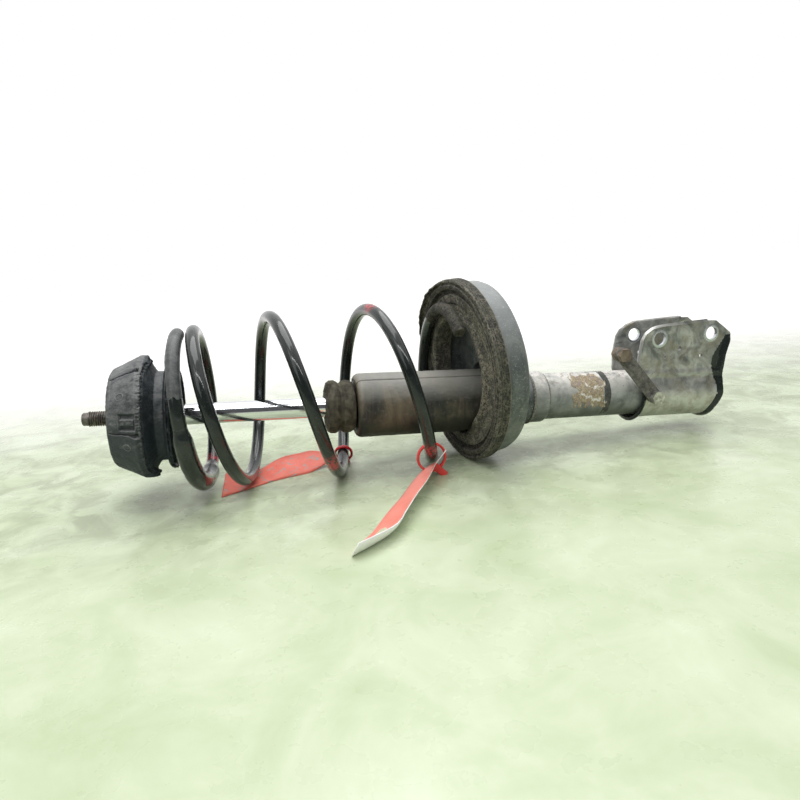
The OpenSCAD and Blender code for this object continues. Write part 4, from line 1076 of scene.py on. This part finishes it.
def bracket_sheet(name):
    half = section_mid()
    section = [(-y, z) for y, z in reversed(half)] + [(y, z) for y, z in half[1:]]
    normals = []
    for i in range(len(section)):
        q, r = section[max(i - 1, 0)], section[min(i + 1, len(section) - 1)]
        t = Vector((r[0] - q[0], r[1] - q[1])).normalized()
        normals.append(Vector((t.y, -t.x)))
    cols = 90
    verts = []
    for (y, z), n in zip(section, normals):
        lo, hi = interp(z, LEFT_EDGE), interp(z, RIGHT_EDGE)
        ear = smooth((z - 20) / 10)
        for j in range(cols + 1):
            x = lo + (hi - lo) * j / cols
            left, right = x - lo, hi - x
            # flared ends: wide at the wrap, a stiffening edge on the ears
            out = (3.9 - 2.2 * ear) * (1 - smooth(left / (5.5 - 1.5 * ear)))
            tall = 1 - smooth((z - 58) / 8)
            out += (3.4 + 0.8 * bump(z, 30, 30)) * tall * (1 - smooth(right / 7.5))
            # pressed shallow dish in the ear and the crease above the wrap
            dish = ear * bump(z, 55, 17) * bump(x, 580, 34) * -0.7
            crease = 0.9 * bump(z, 24, 5) * smooth(left / 12) * smooth(right / 12)
            rings = 0.0
            for hx, hz in BOLT_HOLES:
                rings = max(rings, 0.45 * (1 - smooth((math.hypot(x - hx, z - hz) - RING_R + 1.2) / 1.2)))
            lumps = 0.15 * n3(x, y, z, 16, 2)
            off = out + dish + crease + rings * ear + lumps
            verts.append((x, y + n.x * off, z + n.y * off))
    return mesh_object(name, verts, grid_faces(len(section) - 1, cols), [m_bracket])


bracket = bracket_sheet("bracket_pressed")
modifier(bracket, "SOLIDIFY", thickness=SHEET * MM, offset=0)
bevel(bracket, 0.7, 50)
apply_modifiers(bracket)
for x, z, r in [(x, z, BOLT_R) for x, z in BOLT_HOLES] + [(579, 51.3, 2.6), (561, 42, 2.2), (607, 42.7, 2.2)]:
    drill(bracket, x, z, r)
# dark paint with painted shade for the flared edges, widest in a crescent on the right flare
bracket.data.materials.append(m_dark_lip)
for p in bracket.data.polygons:
    p.use_smooth = True
    c = p.center / MM
    left, right = c.x - interp(c.z, LEFT_EDGE), interp(c.z, RIGHT_EDGE) - c.x
    if c.z < 16 and left < 4.6 or c.z < 66 and right < 6 + 8.5 * bump(c.z, 38, 34):
        p.material_index = 1
modifier(bracket, "EDGE_SPLIT", split_angle=rad(40))
part(bracket, "strut_body", ["knuckle_bracket"])


def seam(name, a, b, thick, seed, sides=10):
    """Weld bead from one point to another, in mm."""
    n = max(2, int((b - a).length / 0.8))
    along = (b - a).normalized()
    side = along.cross(Vector((0, 0, 1))).normalized()
    up = along.cross(side)
    verts = []
    for i in range(n + 1):
        size = 1 + 0.2 * math.sin(i * 1.3 + seed) + 0.25 * noise.noise(Vector((i * 0.4, seed, 0)))
        for k in range(sides):
            u = TAU * k / sides
            verts.append(a + (b - a) * i / n + thick * 0.5 * size * (math.cos(u) * side + math.sin(u) * up))
    ob = mesh_object(name, verts, ring_faces(n + 1, sides, caps=True), [m_weld])
    part(ob, "strut_body")


for s in (-1, 1):
    seam(f"weld_ear_{'near' if s < 0 else 'far'}", Vector((545, s * 19.6, 16.6)), Vector((622, s * 19.6, 16.6)),
         2.6, s)

# ---------------------------------------------------------------- hose strap
STRAP_FOOT, STRAP_ANGLE, STRAP_L, STRAP_R = Vector((545, 1)), 133.5, 65.0, 7.5
along = Vector((math.cos(rad(STRAP_ANGLE)), math.sin(rad(STRAP_ANGLE))))
across = Vector((-along.y, along.x))
ends = (STRAP_FOOT, STRAP_FOOT + STRAP_L * along)
outline = [at + STRAP_R * (math.cos(rad(t)) * along + math.sin(rad(t)) * across)
           for at, first in zip(ends, (90, -90)) for t in [first + 7.5 * k for k in range(25)]]
verts = [(p.x, v.y / MM, p.y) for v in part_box("hose_strap") for p in outline]
strap = mesh_object("hose_strap_worn", verts, ring_faces(2, len(outline), caps=True), [m_strap])
for at in ends:
    drill(strap, at.x, at.y, 4.1)
bevel(strap, 0.6, 40)
modifier(strap, "EDGE_SPLIT", split_angle=rad(50))
part(strap, "strut_body", ["hose_strap"])

# ---------------------------------------------------------------- tags and ties
TAG_T = 0.8
PAN_LOW = PAN_C + LINER_R * Vector((math.sin(PAN_TILT), 0, -math.cos(PAN_TILT)))
BENDS = [PAN_LOW - coil_at(n) + Vector((0, 0, WIRE_R + 1.3 * TAG_T)) for n in (0.5, 1.5, 2.5)]
TABLE_RISE = max(b.z / b.x for b in BENDS)


def table_z(x):
    """Height of the table's top at x."""
    return PAN_LOW.z - TABLE_RISE * (PAN_LOW.x - x)


def catmull(rows, steps):
    """Smooth rows of points: more rows between the given ones."""
    out = []
    n = len(rows)
    for i in range(n - 1):
        p0, p1, p2, p3 = rows[max(i - 1, 0)], rows[i], rows[i + 1], rows[min(i + 2, n - 1)]
        for s in range(steps):
            t = s / steps
            out.append([0.5 * ((2 * b) + (c - a) * t + (2 * a - 5 * b + 4 * c - d) * t * t
                               + (3 * b - a - 3 * c + d) * t ** 3) for a, b, c, d in zip(p0, p1, p2, p3)])
    out.append(rows[-1])
    return out


def tag_strip(name, rows, thick, top, under, rim, steps=6, across=8):
    """A thin strip through rows of three points each: one edge, the middle and the other edge."""
    wide = []
    for a, b, c in catmull(rows, steps):
        ts = [j / across for j in range(across + 1)]
        wide.append([a * (1 - t) ** 2 + (2 * b - 0.5 * a - 0.5 * c) * 2 * t * (1 - t) + c * t * t for t in ts])
    n, m = len(wide), across + 1
    up = []
    for i in range(n):
        f = wide[min(i + 1, n - 1)][m // 2] - wide[max(i - 1, 0)][m // 2]
        up.append([f.cross(wide[i][min(j + 1, m - 1)] - wide[i][max(j - 1, 0)]).normalized() for j in range(m)])
    verts = [wide[i][j] + s * thick / 2 * up[i][j] for s in (1, -1) for i in range(n) for j in range(m)]
    sheet = grid_faces(n - 1, across)
    faces = sheet + [tuple(n * m + k for k in face) for face in sheet]
    mats = [0] * len(sheet) + [1] * len(sheet)
    rims = [(i * m + j, (i + 1) * m + j) for i in range(n - 1) for j in (0, across)]
    rims += [(i * m + j, i * m + j + 1) for i in (0, n - 1) for j in range(across)]
    faces += [(a, b, n * m + b, n * m + a) for a, b in rims]
    mats += [2] * len(rims)
    return mesh_object(name, verts, faces, [top, under, rim], face_mats=mats)


# rows of the long tag, as offsets in mm from where it hangs and from the table
LONG_ROWS = [
    [(13.5, -0.5, 25.5), (12.5, -4.5, 26.5), (12, -6.5, 27.5)],
    [(5, -0.5, 15.5), (3.5, -4.5, 16.5), (3, -7.5, 17.5)],
    [(-6.5, -0.5, 10), (-3.5, -7.5, 13), (-1.5, -13.5, 16)],
    [(-22.5, -14.5, 4.5), (-19.5, -27.5, 10), (-16.5, -42.5, 16)],
    [(-41.5, -40.5, 0.5), (-37.5, -55.5, 7.5), (-35.5, -72.5, 15.5)],
    [(-60.5, -68.5, 0.2), (-52.5, -82.5, 3), (-52.5, -100.5, 14.5)],
    [(-81.5, -102.5, 0.2), (-71.5, -110.5, 0.2), (-66.5, -120.5, 13)],
    [(-91.5, -113.5, 0.2), (-102.5, -133.5, 0.2), (-98.5, -140.5, 13)],
]
hang = coil_at(LONG_TIE_TURN) - Vector((0, 2, 0))
rows = [[Vector((hang.x + dx, hang.y + dy, table_z(hang.x + dx) + 0.6 * TAG_T + dz)) for dx, dy, dz in r]
        for r in LONG_ROWS]
# the red side is up where a row runs from the far edge to the near one
long_tag = tag_strip("tag_long_strip", rows, 0.7, m_tag_pink, m_tag_white, m_tag_white)
follow_spring(long_tag, ["tag_label_long"])

start = coil_at(SHORT_TIE_TURN) + Vector((-8.55, 2, -3))
end_x = coil_at(1.5).x - 26
rows = []
for i in range(13):
    t = i / 12
    w = 10 + 26 * smooth(t * 3.5)
    x = start.x + t * (end_x - start.x)
    y = start.y + t * (-7 - start.y) + 10 * math.sin(math.pi * t)
    free = max(0, 1 - t / 0.8) ** 2
    # the far edge curls up where no wire presses on it
    curl = (0.12 + 0.14 * bump(t, 0.5, 0.25) + 0.24 * smooth((t - 0.8) / 0.2)) * smooth(t * 4)
    z = table_z(x) + 0.6 * TAG_T + (start.z - table_z(start.x) - 0.6 * TAG_T) * free + curl * w / 2
    across = Vector((0.1, 1, 0.7 * free + curl)).normalized()
    rows.append([Vector((x, y, z)) + j * w / 2 * across for j in (-1, 0, 1)])
short_tag = tag_strip("tag_short_strip", rows, 0.7, m_tag_red, m_tag_red, m_tag_red)
follow_spring(short_tag, ["tag_label_short"])


def tie_loop(name, turn, inner, facing, down, mat, n=160):
    """Cable tie: a toothed band that hangs from the wire."""
    along, _, _ = coil_frame(turn)
    normal = (facing or along).normalized()
    low = (down - down.dot(normal) * normal).normalized()
    side = low.cross(normal)
    c = min(abs(along.dot(normal)), 0.9999)
    tan = math.sqrt(1 - c * c) / c
    centre = coil_at(turn) + (inner / 2 - WIRE_R / c - 2 * tan - WIRE_GAP) * low
    verts = []
    for i in range(n):
        a = TAU * i / n
        tooth = 0.22 if i % 4 < 2 else 0
        d = math.cos(a) * low + math.sin(a) * side
        for r, h in ((inner / 2 + 0.35 - tooth, -1.3), (inner / 2 + 2.0, -1.95), (inner / 2 + 2.5, -1.2),
                     (inner / 2 + 2.5, 1.2), (inner / 2 + 2.0, 1.95), (inner / 2 + 0.35 - tooth, 1.3)):
            verts.append(centre + r * d + h * normal)
    ob = mesh_object(name, verts, ring_faces(n, 6, close_rings=True), [mat])
    return ob, centre, low, side, normal


def soft_block(name, centre, axes, size, mat, round_mm=0.8, taper=0.0):
    """A moulded block with rounded edges; axes are its three directions."""
    verts = []
    for sx, k in ((-0.5, 1), (0.5, 1 - taper)):
        for sy in (-0.5 * k, 0.5 * k):
            for sz in (-0.5 * k, 0.5 * k):
                verts.append(centre + sx * size[0] * axes[0] + sy * size[1] * axes[1] + sz * size[2] * axes[2])
    faces = [(0, 1, 3, 2), (4, 6, 7, 5), (0, 4, 5, 1), (2, 3, 7, 6), (0, 2, 6, 4), (1, 5, 7, 3)]
    ob = mesh_object(name, verts, faces, [mat])
    bevel(ob, round_mm, 30, 3)
    return ob


loop, centre, low, side, normal = tie_loop("tie_long_loop", LONG_TIE_TURN, 25, Vector((0, 1, 0)), Vector((0, 0, -1)),
                                           m_tie_bright)
follow_spring(loop, ["tag_tie_long"])
TAIL_TURN = rad(48)
t_dir = math.cos(TAIL_TURN) * low + math.sin(TAIL_TURN) * side
t_side = -math.sin(TAIL_TURN) * low + math.cos(TAIL_TURN) * side
tail_c = centre + 11.5 * low + 8.5 * t_dir + 4 * t_side - 0.5 * normal
follow_spring(soft_block("tie_long_tail", tail_c, (t_dir, t_side, normal), (16.6, 7.6, 2.8), m_tie_bright, 1.2,
                         0.12))
loop, centre, low, side, normal = tie_loop("tie_short_loop", SHORT_TIE_TURN, 15, None, Vector((0.3, 0, -1)), m_tie)
follow_spring(loop, ["tag_tie_short"])
follow_spring(soft_block("tie_short_head", centre + 10.1 * low, (low, side, normal), (4.2, 6.8, 6.8), m_tie, 0.9))

# ---------------------------------------------------------------- floor, light and camera
m = Mat("table_pale", 0.3, Specular_IOR_Level=0.45)
depth = m.xyz()[1]
m.base(m.blot(0.3, 0.72, 70, 5, 0.62, 0.5), (0.485, 0.57, 0.36), (0.645, 0.715, 0.53))
# painted shadow and reflection of the strut: blotchy darkening of the table near it
painted_shadow_under_strut = m.mul(m.span(depth, -0.20, -0.04), m.blot(0.42, 0.6, 48, 5, 0.65, 0.6, offset=3))
m.tint(painted_shadow_under_strut, (0.30, 0.34, 0.21), 0.65)
# the far parts of the table fade into the white backdrop
far = m.most(m.span(depth, -0.55, -2.2), m.span(depth, 0.16, 0.75))
m.tint(far, (0.30, 0.30, 0.30))
ray = m.node("LightPath").outputs
shown = m.most(ray["Is Camera Ray"], ray["Is Glossy Ray"])
table_mat = m.done(Emission_Color=(1.0, 0.985, 0.965, 1), Emission_Strength=m.mul(m.mul(far, 0.75), shown),
                   Roughness=m.span(m.noise(25, 4), 0.3, 0.7, 0.22, 0.36))
TABLE_HALF = 6000
verts = [(x, y, table_z(x)) for x in (-TABLE_HALF, TABLE_HALF) for y in (-TABLE_HALF, TABLE_HALF)]
floor = mesh_object("table", verts, [(0, 2, 3, 1)], [table_mat], smooth_shade=False)

world = bpy.data.worlds.new("studio")
bpy.context.scene.world = world
world.use_nodes = True
w = Nodes(world.node_tree)
ray = w.node("LightPath").outputs
# the camera sees white; reflections see a white backdrop behind the table and above it, and a dim room in front
AMBIENT = 0.36
way = w.split(w.coords["Generated"])
height = w.add(w.mul(way["Y"], 0.75), w.mul(way["Z"], 0.65))
level = w.span(height, -0.15, 0.35, 0.10 - AMBIENT, 1.0 - AMBIENT)
glossy = w.add(w.mul(level, ray["Is Glossy Ray"]), AMBIENT)
background = w.t.nodes["Background"]
w.put(background.inputs["Color"], (1.0, 1.0, 1.0, 1))
w.put(background.inputs["Strength"], w.most(glossy, ray["Is Camera Ray"]))


def area(name, at, target, size, power):
    d = bpy.data.lights.new(name, "AREA")
    d.shape = "RECTANGLE"
    d.size, d.size_y = size
    d.energy = power
    ob = bpy.data.objects.new(name, d)
    bpy.context.collection.objects.link(ob)
    ob.location = Vector(at)
    ob.rotation_euler = (Vector(target) - Vector(at)).to_track_quat("-Z", "Y").to_euler()


area("softbox_top", (0.15, 0.25, 1.5), (0.3, 0, 0), (1.8, 1.2), 24)
area("softbox_left", (-0.9, -0.9, 0.9), (0.2, 0, 0), (1.0, 1.0), 5)
area("strip_front", (0.25, -0.75, 1.0), (0.3, 0, 0), (1.6, 0.07), 4.5)

scene = bpy.context.scene
scene.view_settings.view_transform = "Standard"
scene.view_settings.look = "None"
scene.view_settings.exposure = 0
scene.view_settings.gamma = 1

# the photograph's viewpoint: where it stands, and which way is right and up
CAMERA_AT = Vector((0.1203, -0.5821, 0.1359))
CAMERA_RIGHT = Vector((0.96918, -0.24630, 0.00532))
CAMERA_UP = Vector((0.04794, 0.20977, 0.97657))
lens = bpy.data.cameras.new("camera")
lens.lens = 27
lens.sensor_width = 36
camera = bpy.data.objects.new("camera", lens)
bpy.context.collection.objects.link(camera)
back = CAMERA_RIGHT.cross(CAMERA_UP).normalized()
up = back.cross(CAMERA_RIGHT).normalized()
camera.matrix_world = Matrix((CAMERA_RIGHT.normalized(), up, back)).transposed().to_4x4()
camera.matrix_world.translation = CAMERA_AT
scene.camera = camera
